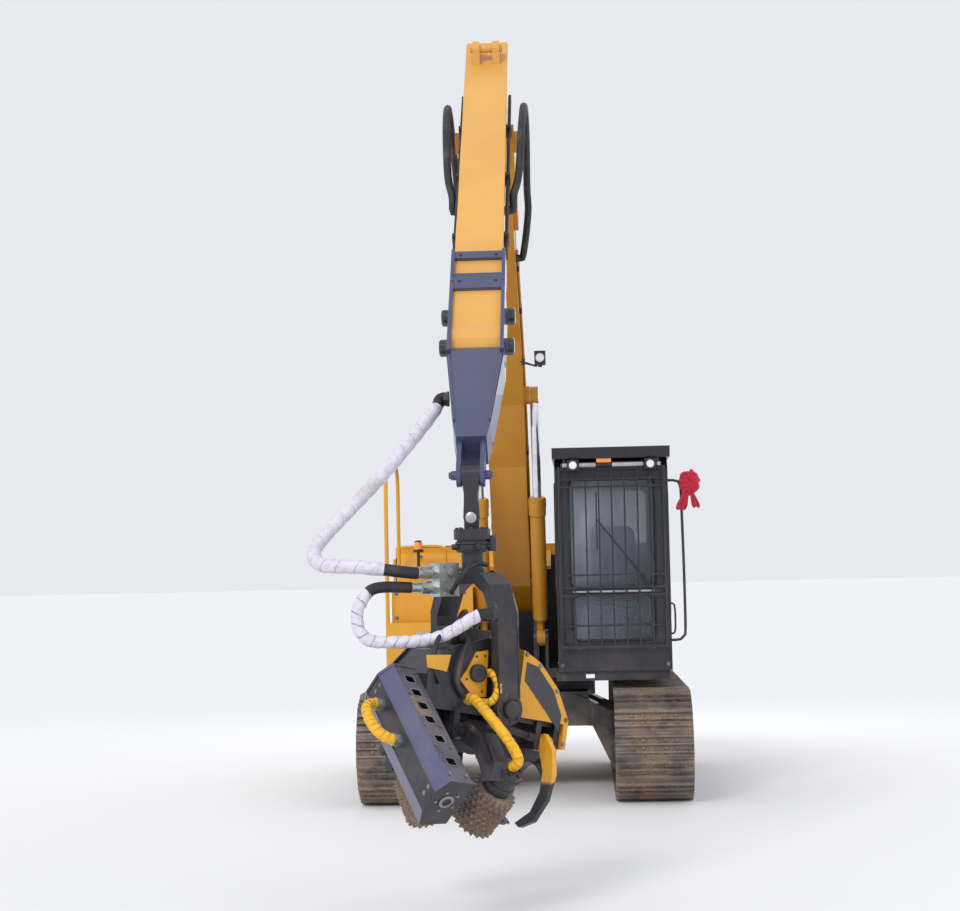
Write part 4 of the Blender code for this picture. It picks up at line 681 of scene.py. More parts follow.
def yellowHoses():
    radius = hoseSizes["yellow"]
    box = sawFrame()
    outlet, back = (local(box, sawBox["face"] - gap, 0.0, z) for z in sawBox["seats"])
    out = headX * -1
    middle, half = (outlet + back) / 2, (outlet - back) * 0.35
    route = [outlet, outlet + out * 0.05, middle + out * 0.11 + half, middle + out * 0.13,
             middle + out * 0.11 - half,
             back + out * 0.05, back]
    line = squareEnds(smoothRoute(route, 0.012), (route[0], route[1]), (route[-1], route[-2]))
    obj = hosePiece("yellowSawHose", line, radius, "yellowWrap", wrapRadius(radius, 0.03, 0.004, 21))
    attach(obj, "head")
    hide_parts("yellow_saw_hose")
    start = local(headFrame, -0.20, -0.19 - gap, 0.02)
    face = headY * -1
    leanY, leanZ = headSize["rollerLean"]
    lift = (headFrame.to_3x3() @ Vector((0, -leanY, leanZ))).normalized()
    (armY, armZ), (x, y, z) = headSize["armPivot"], headSize["roller"]
    motor = local(headFrame, headSize["armX"] + x, -armY - y, armZ + z)
    end = motor + lift * (headSize["motorHalf"] + gap)
    route = [start, start + face * 0.07, (start + end) / 2 + face * 0.13, end + lift * 0.07, end]
    line = squareEnds(smoothRoute(route, 0.012), (route[0], route[1]), (route[-1], route[-2]))
    obj = hosePiece("yellowMotorHose", line, radius, "yellowWrap", wrapRadius(radius, 0.03, 0.004, 33))
    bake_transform(obj)
    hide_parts("yellow_motor_hose")


def bossHose():
    # short wrapped hose on the near face, from the round boss down to the belly
    radius = 0.024
    points = [(-0.10, -0.19 - gap, 0.175), (-0.10, -0.245, 0.175), (-0.080, -0.275, 0.13),
              (-0.078, -0.280, 0.085),
              (-0.090, -0.270, 0.040), (-0.105, -0.245, 0.020), (-0.105, -0.19 - gap, 0.020)]
    route = [local(headFrame, *point) for point in points]
    line = squareEnds(smoothRoute(route, 0.012), (route[0], route[1]), (route[-1], route[-2]))
    obj = hosePiece("yellowBossHose", line, radius, "yellowWrap", wrapRadius(radius, 0.03, 0.004, 45))
    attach(obj, "head")


stickHoses()
supplyHose()
loopHose()
yellowHoses()
bossHose()
print("hoses routed")

# frame nodes: finish, and a small rounding on the sharp edges of the nodes listed in edgeRound

nodeFinish = {
    "yellow": ["counterweight", "engine_hood", "left_service_door", "right_service_door", "fuel_tank",
               "toolbox",
               "toolbox_lid", "handrail", "side_cover"],
    "knife": ["left_knife", "right_knife"],
    # the boom tone is the darker yellow copy, painted shade
    "boom": ["boom", "left_lift_barrel", "right_lift_barrel", "crowd_barrel"],
    # the stick tone is the lighter peach copy, painted highlight and sky reflection
    "stick": ["stick"],
    "black": ["revolving_frame", "engine_bay_frame", "dangle_link", "rotator", "yoke", "head_frame",
              "left_feed_arm",
              "right_feed_arm", "seat_base", "mirror_rail"],
    "cab": ["cab_frame", "cab_door", "front_guard", "roof_guard"],
    "slate": ["extension_bracket"], "sawSlate": ["saw_box"], "body": ["undercarriage_frame"],
    "cast": ["left_idler", "right_idler", "left_sprocket", "right_sprocket", "engine_block"],
    "chrome": ["left_lift_rod", "right_lift_rod", "crowd_rod"], "bar": ["saw_bar"],
    "zinc": ["hose_manifold"],
    "glass": ["windscreen", "rear_glass", "side_glass", "door_glass"],
}
edgeRound = {"counterweight": 0.02, "engine_hood": 0.012, "fuel_tank": 0.018, "toolbox": 0.012,
             "toolbox_lid": 0.008,
             "left_service_door": 0.006, "right_service_door": 0.006, "boom": 0.006, "stick": 0.008,
             "yoke": 0.010,
             "head_frame": 0.012, "side_cover": 0.012, "cab_frame": 0.006, "cab_door": 0.006,
             "roof_guard": 0.006,
             "saw_box": 0.002, "extension_bracket": 0.004, "engine_block": 0.02, "left_feed_arm": 0.008,
             "right_feed_arm": 0.008, "left_knife": 0.004, "right_knife": 0.004, "revolving_frame": 0.004}
for tone, names in nodeFinish.items():
    for name in names:
        obj = nodes[name]
        obj.data.materials.clear()
        obj.data.materials.append(finish[tone])
        if name in edgeRound:
            rounding = obj.modifiers.new("Rounding", "BEVEL")
            rounding.width = edgeRound[name]
            rounding.segments = 2
            rounding.limit_method = "ANGLE"
            rounding.angle_limit = radians(32)
            rounding.harden_normals = True


def shadeSawBox():
    # each long face of the folded box gets its own material: the face turned along -X and the low end take
    # the dark copy as painted shade, and the windowed face takes worn, muddy metal
    box = nodes["saw_box"].data
    turn = sawFrame().to_3x3().inverted()
    box.materials.append(finish["sawPaintedShade"])
    box.materials.append(finish["sawMud"])
    for face in box.polygons:
        way = turn @ face.normal
        if way.x < -0.97 or way.z > 0.9:
            face.material_index = 1
        elif way.y > 0.9:
            face.material_index = 2


shadeSawBox()
print("frame nodes finished")

# small fasteners and strips


def addBolt(bm, at, axis, size, height=0.008):
    at, axis = Vector(at), Vector(axis).normalized()
    addRod(bm, at, at + axis * height * 0.3, size * 1.35, 14)
    addRod(bm, at, at + axis * height, size, 6)


def addBoltRing(bm, centre, axis, radius, count, size, height=0.008, phase=0.0):
    centre, axis = Vector(centre), Vector(axis).normalized()
    side = axis.orthogonal().normalized()
    other = axis.cross(side)
    for i in range(count):
        angle = phase + 2 * pi * i / count
        addBolt(bm, centre + (side * cos(angle) + other * sin(angle)) * radius, axis, size, height)


def addLoop(bm, points, radius, segments=8):
    # a round strip on a closed line
    points = [Vector(p) for p in points]
    ways = [(points[(i + 1) % len(points)] - points[i - 1]).normalized() for i in range(len(points))]
    helper = Vector((0.31, 0.52, 0.79)) if abs(ways[0].x) < 0.9 else Vector((0, 0, 1))
    side = ways[0].cross(helper).normalized()
    rows = []
    for point, way in zip(points, ways):
        side = (side - way * side.dot(way)).normalized()
        other = side.cross(way)
        turns = [2 * pi * k / segments for k in range(segments)]
        rows.append([bm.verts.new(point + (side * cos(a) + other * sin(a)) * radius) for a in turns])
    for i in range(len(rows)):
        low, high = rows[i], rows[(i + 1) % len(rows)]
        shift = min(range(segments), key=lambda t: (low[0].co - high[t].co).length)
        for k in range(segments):
            j = (k + 1) % segments
            bm.faces.new([low[k], low[j], high[(j + shift) % segments], high[(k + shift) % segments]])


def roundedRectangle(low, high, corner, steps=5):
    (u0, v0), (u1, v1) = low, high
    points = []
    for cu, cv, start in ((u1 - corner, v0 + corner, -90), (u1 - corner, v1 - corner, 0),
                          (u0 + corner, v1 - corner, 90), (u0 + corner, v0 + corner, 180)):
        points += [(cu + corner * cos(radians(start + 90 * i / steps)),
                    cv + corner * sin(radians(start + 90 * i / steps)))
                   for i in range(steps + 1)]
    return points


def windowSeal(name, plane, low, high, corner, at, body, radius=0.009, tone="rubber"):
    bm = bmesh.new()
    outline = roundedRectangle(low, high, corner)
    addLoop(bm, [(u, at, v) if plane == "XZ" else (at, u, v) for u, v in outline], radius)
    return fromMesh(name, bm, tone, body, upperFrame)


# tracks: shoes with three bars, bolted on a chain of links

trackSize = {"gauge": 1.99, "width": 0.60, "halfRun": 1.42, "middle": 0.43, "grouser": 0.026, "link": 0.10,
             "shoes": 43, "plate": 0.012}


def trackPlace(distance, centre):
    radius = trackSize["middle"] - trackSize["grouser"]
    straight, bend = 2 * trackSize["halfRun"], pi * radius
    distance %= 2 * (straight + bend)
    side = 1
    if distance >= straight + bend:
        distance -= straight + bend
        side = -1
    along = distance - trackSize["halfRun"] if distance < straight else trackSize["halfRun"]
    turn = 0.0 if distance < straight else (distance - straight) / radius
    y, z = side * (along + radius * sin(turn)), trackSize["middle"] - side * radius * cos(turn)
    out = Vector((0, side * sin(turn), -side * cos(turn)))
    return basis(Vector((1, 0, 0)), Vector((0, -out.z, out.y)) * -1, out, Vector((centre, y, z)))


def addTrack(word, side):
    radius = trackSize["middle"] - trackSize["grouser"]
    pitch = (4 * trackSize["halfRun"] + 2 * pi * radius) / trackSize["shoes"]
    half, top, thin = pitch * 0.503, trackSize["grouser"], trackSize["plate"]
    profile = [(-half, -thin), (-half, 0.0)]
    for share in (-0.31, 0.0, 0.31):
        mid = share * pitch
        profile += [(mid - 0.013, 0.0), (mid - 0.007, top), (mid + 0.006, top), (mid + 0.011, 0.0)]
    profile += [(half, 0.0), (half, -thin)]
    bm = bmesh.new()
    for i in range(trackSize["shoes"]):
        place = trackPlace((i + 0.5) * pitch, side * trackSize["gauge"] / 2)
        before = set(bm.verts)
        width = trackSize["width"] / 2
        addPlate(bm, profile, -width, width)
        for vert in bm.verts:
            if vert not in before and abs(vert.co.x) > width - 0.01 and vert.co.z > 0.001:
                vert.co.x *= 0.985 - 0.03 * noise.noise(Vector((i * 3.1, vert.co.y * 40, side)))
        for x in (-0.17, -0.085, 0.085, 0.17):
            addBolt(bm, (x, -0.155 * pitch, 0.0), (0, 0, 1), 0.013, 0.012)
            addBolt(bm, (x, 0.155 * pitch, 0.0), (0, 0, 1), 0.013, 0.012)
        depth = trackSize["link"] - trackSize["grouser"]
        for x in (-0.10, 0.10):
            addBox(bm, (x - 0.018, -half * 0.98, -depth), (x + 0.018, half * 0.98, -thin))
            addRod(bm, (x * 1.2, -half, -depth * 0.6), (x * 0.5, -half, -depth * 0.6), 0.022, 12)
        bmesh.ops.transform(bm, matrix=place, verts=[v for v in bm.verts if v not in before])
    obj = fromMesh(word + "TrackChain", bm, "track", "undercarriage", upperFrame)
    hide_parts(word + "_track")


for word, side in (("left", 1), ("right", -1)):
    addTrack(word, side)
    bm = bmesh.new()
    middle = side * trackSize["gauge"] / 2
    for lean in (-1, 1):
        addBoltRing(bm, (middle + lean * 0.130, -1.42, 0.43), (lean, 0, 0), 0.045, 4, 0.011)
        addBoltRing(bm, (middle + lean * 0.130, 1.42, 0.43), (lean, 0, 0), 0.06, 8, 0.010)
        for i in range(7):
            addLathe(bm, [(0, 0.012), (0.030, 0.012), (0.038, 0.004), (0.038, 0)],
                     (middle + lean * 0.16, -0.96 + 0.32 * i, 0.1753), (lean, 0, 0), 18)
    addBox(bm, (middle - 0.045, -0.9, 0.596), (middle + 0.045, 0.9, 0.612))
    fromMesh(word + "TrackFrameTrim", bm, "cast", "undercarriage", upperFrame, bevel=0.002)
print("tracks built")

# cab

cabSize = {"left": 0.27, "right": 1.17, "front": -1.33, "bar": (-1.43, 2.6303)}


def addCab():
    windowSeal("windscreenSeal", "XZ", (0.38, 1.66), (1.06, 2.52), 0.05, -1.331, "upper")
    windowSeal("lowerWindowSeal", "XZ", (0.39, 1.24), (1.05, 1.60), 0.07, -1.331, "upper")
    windowSeal("rearWindowSeal", "XZ", (0.39, 1.90), (1.05, 2.50), 0.06, 0.261, "upper")
    windowSeal("sideWindowSeal", "YZ", (-1.20, 1.60), (0.12, 2.50), 0.06, 0.269, "upper")
    windowSeal("quarterSeal", "YZ", (-0.32, 1.75), (0.12, 2.50), 0.05, 1.171, "upper")
    windowSeal("doorSeal", "YZ", (-1.14, 1.42), (-0.496, 2.46), 0.05, 1.171, "cab_entry")
    bm = bmesh.new()
    for x, z in ((0.446, 1.19), (1.03, 1.19), (0.300, 1.646), (0.300, 1.57), (1.14, 1.646), (1.14, 1.57),
                 (0.30, 2.52), (1.14, 2.52), (0.30, 1.05), (1.14, 1.05)):
        addBolt(bm, (x, cabSize["front"], z), (0, -1, 0), 0.012, 0.009)
    for y in (-1.1, -0.6, -0.1):
        addBolt(bm, (cabSize["left"], y, 1.06), (-1, 0, 0), 0.011)
        addBolt(bm, (cabSize["right"], y + 0.05, 1.04), (1, 0, 0), 0.011)
    fromMesh("cabBolts", bm, "bolt", "upper", upperFrame)
    bm = bmesh.new()
    addBox(bm, (0.28, -1.337, 1.136), (1.16, -1.328, 1.146))
    addBox(bm, (0.36, -1.345, 1.612), (1.08, -1.328, 1.648))
    addBox(bm, (0.276, -1.336, 1.02), (0.292, -1.328, 2.56))
    addBox(bm, (1.148, -1.336, 1.02), (1.164, -1.328, 2.56))
    for x in (0.44, 0.60, 0.76, 0.92):
        addBox(bm, (x, -1.38, 2.724), (x + 0.05, 0.10, 2.738))
    fromMesh("cabTrim", bm, "cab", "upper", upperFrame, bevel=0.003)
    bm = bmesh.new()
    addBox(bm, (0.40, -1.347, 1.622), (1.04, -1.343, 1.636))
    fromMesh("cabStrip", bm, "zinc", "upper", upperFrame, bevel=0.001)
    # wiper on the inner edge of the windscreen
    bm = bmesh.new()
    addRod(bm, (0.99, -1.342, 1.70), (0.99, -1.333, 1.70), 0.022, 16)
    addRod(bm, (0.99, -1.348, 1.70), (0.60, -1.346, 2.20), 0.006, 8)
    addBox(bm, (0.592, -1.346, 1.96), (0.604, -1.335, 2.42))
    addRod(bm, (0.99, -1.350, 1.70), (0.90, -1.350, 1.815), 0.011, 10)
    fromMesh("wiper", bm, "plastic", "upper", upperFrame)
    bar = cabSize["bar"]
    bm = bmesh.new()
    glassBm = bmesh.new()
    for x in (0.42, 1.03):
        addLathe(bm, [(0.041, 0), (0.043, 0.006), (0.040, 0.012), (0.034, 0.012), (0.033, 0.002)],
                 (x, bar[0] - 0.045, bar[1] - 0.003), (0, -1, 0), 26)
        addLathe(glassBm, [(0.034, 0.0), (0.030, 0.006), (0.018, 0.009), (0, 0.010)],
                 (x, bar[0] - 0.0452, bar[1] - 0.003), (0, -1, 0), 26)
        addBox(bm, (x - 0.012, bar[0] - 0.02, bar[1] + 0.035), (x + 0.012, bar[0] + 0.015, bar[1] + 0.052))
    fromMesh("workLampRims", bm, "plastic", "upper", upperFrame)
    fromMesh("workLampLenses", glassBm, "lampGlass", "upper", upperFrame)
    bm = bmesh.new()
    for low, high in ((0.335, 0.372), (0.47, 0.60), (0.73, 0.975), (1.085, 1.11)):
        addRod(bm, (low, bar[0], bar[1]), (high, bar[0], bar[1]), 0.0215, 20)
    fromMesh("lampBarSleeves", bm, "zinc", "upper", upperFrame)
    bm = bmesh.new()
    addBox(bm, (0.606, bar[0] - 0.022, bar[1] + 0.016), (0.723, bar[0] + 0.022, bar[1] + 0.049))
    fromMesh("roofMarker", bm, "amber", "upper", upperFrame, bevel=0.008)
    bm = bmesh.new()
    addBox(bm, (0.485, -1.312, 0.945), (0.555, -1.300, 0.978))
    fromMesh("underCabLamp", bm, "lampGlass", "upper", upperFrame, bevel=0.004)
    bm = bmesh.new()
    sweep(bm, smoothRoute([(1.171, -1.10, 1.28), (1.205, -1.10, 1.29), (1.212, -1.10, 1.40),
                           (1.205, -1.10, 1.51),
                           (1.171, -1.10, 1.52)], 0.02), lambda v, a: 0.008, 10)
    addBox(bm, (1.170, -1.125, 1.33), (1.178, -1.075, 1.39))
    fromMesh("doorHandle", bm, "plastic", "cab_entry", upperFrame)
    # controls: monitor, pedals, lever grips
    bm = bmesh.new()
    addBox(bm, (0.36, -1.16, 1.72), (0.50, -1.13, 1.86))
    addRod(bm, (0.42, -1.14, 1.73), (0.38, -1.14, 1.50), 0.012, 10)
    for x in (0.62, 0.80):
        addBox(bm, (x - 0.045, -1.20, 1.09), (x + 0.045, -1.04, 1.105))
        addRod(bm, (x, -1.10, 1.10), (x, -1.13, 1.34), 0.010, 10)
        addRod(bm, (x, -1.13, 1.33), (x, -1.13, 1.38), 0.020, 12)
    fromMesh("cabControls", bm, "plastic", "upper", upperFrame, bevel=0.004)


def bell(offset, width):
    return 2.7 ** (-(offset / width) ** 2)


def joinRows(bm, grid):
    # faces between closed rings of points, with the poles drawn together
    for a, b in zip(grid, grid[1:]):
        for k in range(len(a)):
            j = (k + 1) % len(a)
            bm.faces.new([a[k], a[j], b[j], b[k]])
    bmesh.ops.remove_doubles(bm, verts=bm.verts, dist=1e-5)


cushionShape = {"rows": 44, "columns": 64, "power": 0.34, "crown": 0.16, "seams": (-0.52, 0.52),
                "seamDepth": 0.10,
                "seamWidth": 0.05, "crossSeam": 0.35, "crossDepth": 0.08, "crossWidth": 0.035, "fill": 0.85}


def addCushion(name, low, high, node, facing):
    # a crowned pad with two stitched grooves and a cross groove between them
    low, high = Vector(low), Vector(high)
    centre, half = (low + high) / 2, (high - low) / 2
    bm = bmesh.new()
    shape = cushionShape
    rows, columns, power = shape["rows"], shape["columns"], shape["power"]
    grid = []
    for i in range(rows + 1):
        lat = -pi / 2 + pi * i / rows
        ring = []
        for k in range(columns):
            lon = 2 * pi * k / columns
            c = [cos(lat) * cos(lon), cos(lat) * sin(lon), sin(lat)]
            p = [abs(t) ** power * (1 if t > 0 else -1) for t in c]
            cross = p[2] if facing == "Y" else p[1]
            crown = shape["crown"] * (p[0] ** 2 + cross ** 2)
            depth = 2 if facing == "Z" else 1
            groove = sum(shape["seamDepth"] * bell(p[0] - seam,
                                                   shape["seamWidth"]) for seam in shape["seams"])
            if abs(p[0]) < shape["seams"][1]:
                groove += shape["crossDepth"] * bell(cross - shape["crossSeam"], shape["crossWidth"])
            p[depth] *= 1 - crown - groove
            ring.append(bm.verts.new(centre + Vector(p[t] * half[t] * 0.995 for t in range(3))))
        grid.append(ring)
    joinRows(bm, grid)
    obj = fromMesh(name, bm, "seat", "upper", upperFrame, smooth=80)
    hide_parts(node)


clothShape = {"centre": (1.335, -1.40, 2.475), "reach": (0.092, 0.070, 0.108), "rows": 46, "columns": 96,
              "ribs": 11, "ribHeight": 0.065, "knot": (0.05, -0.99, 0.1), "knotDepth": 0.45,
              "knotWidth": 0.32,
              "fill": 0.25}


def addCloth():
    # a square of cloth bunched and knotted round the mirror's bracket, with ribs from the knot and two tails
    shape = clothShape
    centre, reach = Vector(shape["centre"]), Vector(shape["reach"])
    bm = bmesh.new()
    rows, columns = shape["rows"], shape["columns"]
    grid = []
    for i in range(rows + 1):
        lat = -pi / 2 + pi * i / rows
        ring = []
        for k in range(columns):
            lon = 2 * pi * k / columns
            way = Vector((cos(lat) * cos(lon), sin(lat), cos(lat) * sin(lon)))
            ribs = 0
            if abs(lat) < 1.5:
                ripple = sin(lon * shape["ribs"] + 2.5 * noise.noise(way * 1.7))
                ribs = ripple * shape["ribHeight"] * cos(lat) ** 0.5
            lumps = noise.noise(way * 2.1 + Vector((3, 1, 7))) * 0.26 + noise.noise(way * 5.0) * 0.07
            knot = -shape["knotDepth"] * bell((way - Vector(shape["knot"])).length, shape["knotWidth"])
            size = min(1.0, 0.86 + ribs + lumps + knot)
            ring.append(bm.verts.new(centre + Vector(way[t] * reach[t] * size for t in range(3))))
        grid.append(ring)
    joinRows(bm, grid)
    # tails: pleated tongues
    for start, end, width, seed in (((1.315, -1.42, 2.42), (1.262, -1.42, 2.262), 0.042, 1),
                                    ((1.35, -1.42, 2.40), (1.385, -1.43, 2.275), 0.030, 2)):
        start, end = Vector(start), Vector(end)
        layers = []
        steps, across = 16, 22
        for side in (1, -1):
            sheet = []
            for i in range(steps + 1):
                t = i / steps
                row = []
                for k in range(across + 1):
                    u = k / across * 2 - 1
                    pleat = 0.012 * sin(u * 7 + seed + t * 2) * (0.4 + t)
                    x = u * width * (0.45 + 0.75 * t) * (1 - 0.25 * max(0, t - 0.8) * 5)
                    point = start.lerp(end,
                                       t) + Vector((x, pleat + side * 0.0012, 0.006 * sin(u * 5 + seed)))
                    row.append(bm.verts.new(point))
                sheet.append(row)
            layers.append(sheet)
        for sheet in layers:
            for a, b in zip(sheet, sheet[1:]):
                for k in range(across):
                    bm.faces.new([a[k], a[k + 1], b[k + 1], b[k]])
        front, back = layers
        rim = ([(0, k) for k in range(across + 1)] + [(i, across) for i in range(1, steps + 1)]
               + [(steps, k) for k in range(across - 1, -1, -1)] + [(i, 0) for i in range(steps - 1, 0, -1)])
        for (i, k), (p, q) in zip(rim, rim[1:] + rim[:1]):
            bm.faces.new([front[i][k], front[p][q], back[p][q], back[i][k]])
    obj = fromMesh("mirrorCloth", bm, "cloth", "upper", upperFrame, smooth=80)
    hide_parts("red_cloth")


addCab()
addCushion("seatCushion", (0.48, -0.70, 1.4203), (0.955, -0.24, 1.54), "seat_cushion", "Z")
addCushion("seatBack", (0.50, -0.235, 1.45), (0.94, -0.1403, 2.18), "seat_back", "Y")
addCloth()
print("cab trimmed")

# engine cover, tank, tail


def addUpper():
    for side, word in ((1, "left"), (-1, "right")):
        bm = bmesh.new()
        x = side * 1.2050
        for i in range(12):
            z = 1.22 + i * 0.045
            addPlate(bm, [(x - side * 0.004, z), (x + side * 0.010, z - 0.012),
                          (x + side * 0.010, z - 0.006),
                          (x - side * 0.004, z + 0.012)], 0.62, 1.24, "XZ")
        fromMesh(word + "Louvres", bm, "grille", word + "_door", upperFrame)
        bm = bmesh.new()
        addBox(bm, (x - 0.006, 1.27, 1.44), (x + 0.006, 1.33, 1.54))
        addRod(bm, (x, 1.30, 1.49), (x + side * 0.012, 1.30, 1.49), 0.012, 14)
        fromMesh(word + "DoorLatch", bm, "plastic", word + "_door", upperFrame, bevel=0.002)
    bm = bmesh.new()
    for i in range(9):
        addPlate(bm, [(0.62 + 0.07 * i, 2.040), (0.63 + 0.07 * i, 2.052), (0.66 + 0.07 * i, 2.052),
                      (0.665 + 0.07 * i, 2.040)], -0.75, 0.35, "YZ")
    fromMesh("hoodLouvres", bm, "grille", "hood", upperFrame)
    bm = bmesh.new()
    for x in (-0.85, -0.25, 0.45, 0.85):
        addBolt(bm, (x, 0.55, 2.040), (0, 0, 1), 0.013)
        addBolt(bm, (x, 1.26, 2.040), (0, 0, 1), 0.013)
    for x in (-0.95, -0.55, -0.15):
        addBolt(bm, (x, 0.352, 1.955), (0, -0.75, 0.66), 0.011)
    fromMesh("hoodBolts", bm, "bolt", "hood", upperFrame)
    bm = bmesh.new()
    addLathe(bm, [(0.055, 0), (0.055, 0.018), (0.048, 0.028), (0.02, 0.032), (0, 0.032)],
             (-0.60, -0.02, 1.810), (0, 0, 1))
    addRod(bm, (-0.66, -0.02, 1.842), (-0.54, -0.02, 1.842), 0.009, 10)
    for i in range(5):
        addBox(bm, (-1.03, -0.72 + 0.10 * i, 1.680), (-0.50, -0.69 + 0.10 * i, 1.688))
    fromMesh("tankFittings", bm, "black", "upper", upperFrame, bevel=0.002)
    bm = bmesh.new()
    for x, y, z in ((-1.06, -0.801, 1.64), (-0.50, -0.801, 1.64), (-1.06, -0.801, 1.44),
                    (-0.50, -0.801, 1.44)):
        addBolt(bm, (x, y, z), (0, -1, 0), 0.012)
    for x in (-1.05, -0.53):
        addBolt(bm, (x, -1.281, 1.05), (0, -1, 0), 0.012)
    fromMesh("tankBolts", bm, "bolt", "upper", upperFrame)
    bm = bmesh.new()
    addBox(bm, (-0.86, -1.292, 1.30), (-0.70, -1.280, 1.335))
    addRod(bm, (-0.78, -1.296, 1.318), (-0.78, -1.290, 1.318), 0.014, 16)
    fromMesh("toolboxLatch", bm, "zinc", "upper", upperFrame, bevel=0.002)
    bm = bmesh.new()
    route = [(-1.13, 0.19, 2.035), (-0.98, 0.19, 2.04), (-0.80, 0.19, 2.04), (-0.735, 0.19, 2.02),
             (-0.72, 0.19, 1.95),
             (-0.72, 0.19, 1.76)]
    sweep(bm, smoothRoute(route, 0.03), lambda v, a: 0.015, 12)
    for y, z in ((-0.86, 1.35), (-0.80, 1.68)):
        addBox(bm, (-1.135, y, z - 0.02), (-1.098, -0.79, z + 0.02))
    fromMesh("sideRail", bm, "yellow", "upper", upperFrame)
    bm = bmesh.new()
    addRod(bm, (-0.95, 0.10, 1.81), (-0.95, 0.10, 2.00), 0.013, 12)
    addLathe(bm, [(0.046, 0), (0.046, 0.022), (0.040, 0.026), (0, 0.026)], (-0.95, 0.10, 1.99), (0, 0, 1))
    addLathe(bm, [(0.034, 0), (0.030, 0.012), (0.015, 0.020), (0, 0.022)], (-0.95, 0.10, 2.075), (0, 0, 1))
    fromMesh("beaconBase", bm, "plastic", "upper", upperFrame)
    bm = bmesh.new()
    addLathe(bm, [(0.038, 0), (0.038, 0.045), (0.034, 0.060), (0, 0.064)], (-0.95, 0.10, 2.016), (0, 0, 1))
    fromMesh("beaconDome", bm, "amber", "upper", upperFrame)
    # tail: lifting eyes and lamps
    bm = bmesh.new()
    for x in (-0.62, 0.62):
        addLathe(bm, [(0.05, 0), (0.05, 0.012), (0.03, 0.016), (0, 0.016)], (x, 1.62, 1.920), (0, 0, 1))
        addLoop(bm, [(x + 0.035 * cos(a), 1.62,
                      1.945 + 0.035 * sin(a)) for a in (2 * pi * i / 18 for i in range(18))], 0.011)
    fromMesh("tailFittings", bm, "cast", "upper", upperFrame, bevel=0.002)
    bm = bmesh.new()
    for side in (-1, 1):
        angle = radians(90 - side * 24)
        place = Vector((2.192 * cos(angle), 2.192 * sin(angle), 1.70))
        turn = Matrix.Translation(place) @ Matrix.Rotation(angle - pi / 2, 4, "Z")
        made = addBox(bm, (-0.09, -0.02, -0.035), (0.09, 0.006, 0.035))
        bmesh.ops.transform(bm, matrix=turn, verts=made)
    fromMesh("tailLamps", bm, "amber", "upper", upperFrame, bevel=0.006)
    # engine: fins, belt wheel and pipes seen when the hood or a door is open
    bm = bmesh.new()
    for i in range(6):
        addBox(bm, (-0.30 + 0.11 * i, 0.66, 1.7203), (-0.23 + 0.11 * i, 1.16, 1.80))
    addRod(bm, (0.40, 0.95, 1.35), (0.47, 0.95, 1.35), 0.17, 30)
    addRod(bm, (0.40, 0.78, 1.60), (0.46, 0.78, 1.60), 0.07, 24)
    sweep(bm, smoothRoute([(-0.32, 1.16, 1.78), (-0.45, 1.16, 1.80), (-0.62, 1.10, 1.72),
                           (-0.66, 0.95, 1.55),
                           (-0.66, 0.90, 1.20)], 0.04), lambda v, a: 0.045, 14)
    addRod(bm, (-0.85, 0.62, 1.45), (-0.55, 0.62, 1.45), 0.10, 26)
    fromMesh("engineFittings", bm, "cast", "upper", upperFrame, bevel=0.004)


addUpper()
print("upper structure trimmed")

# boom

liftSize = {"side": 0.235, "foot": (-0.60, 1.25), "eye": (-1.88, 0.45), "eyeRadius": 0.069, "middle": -0.115}


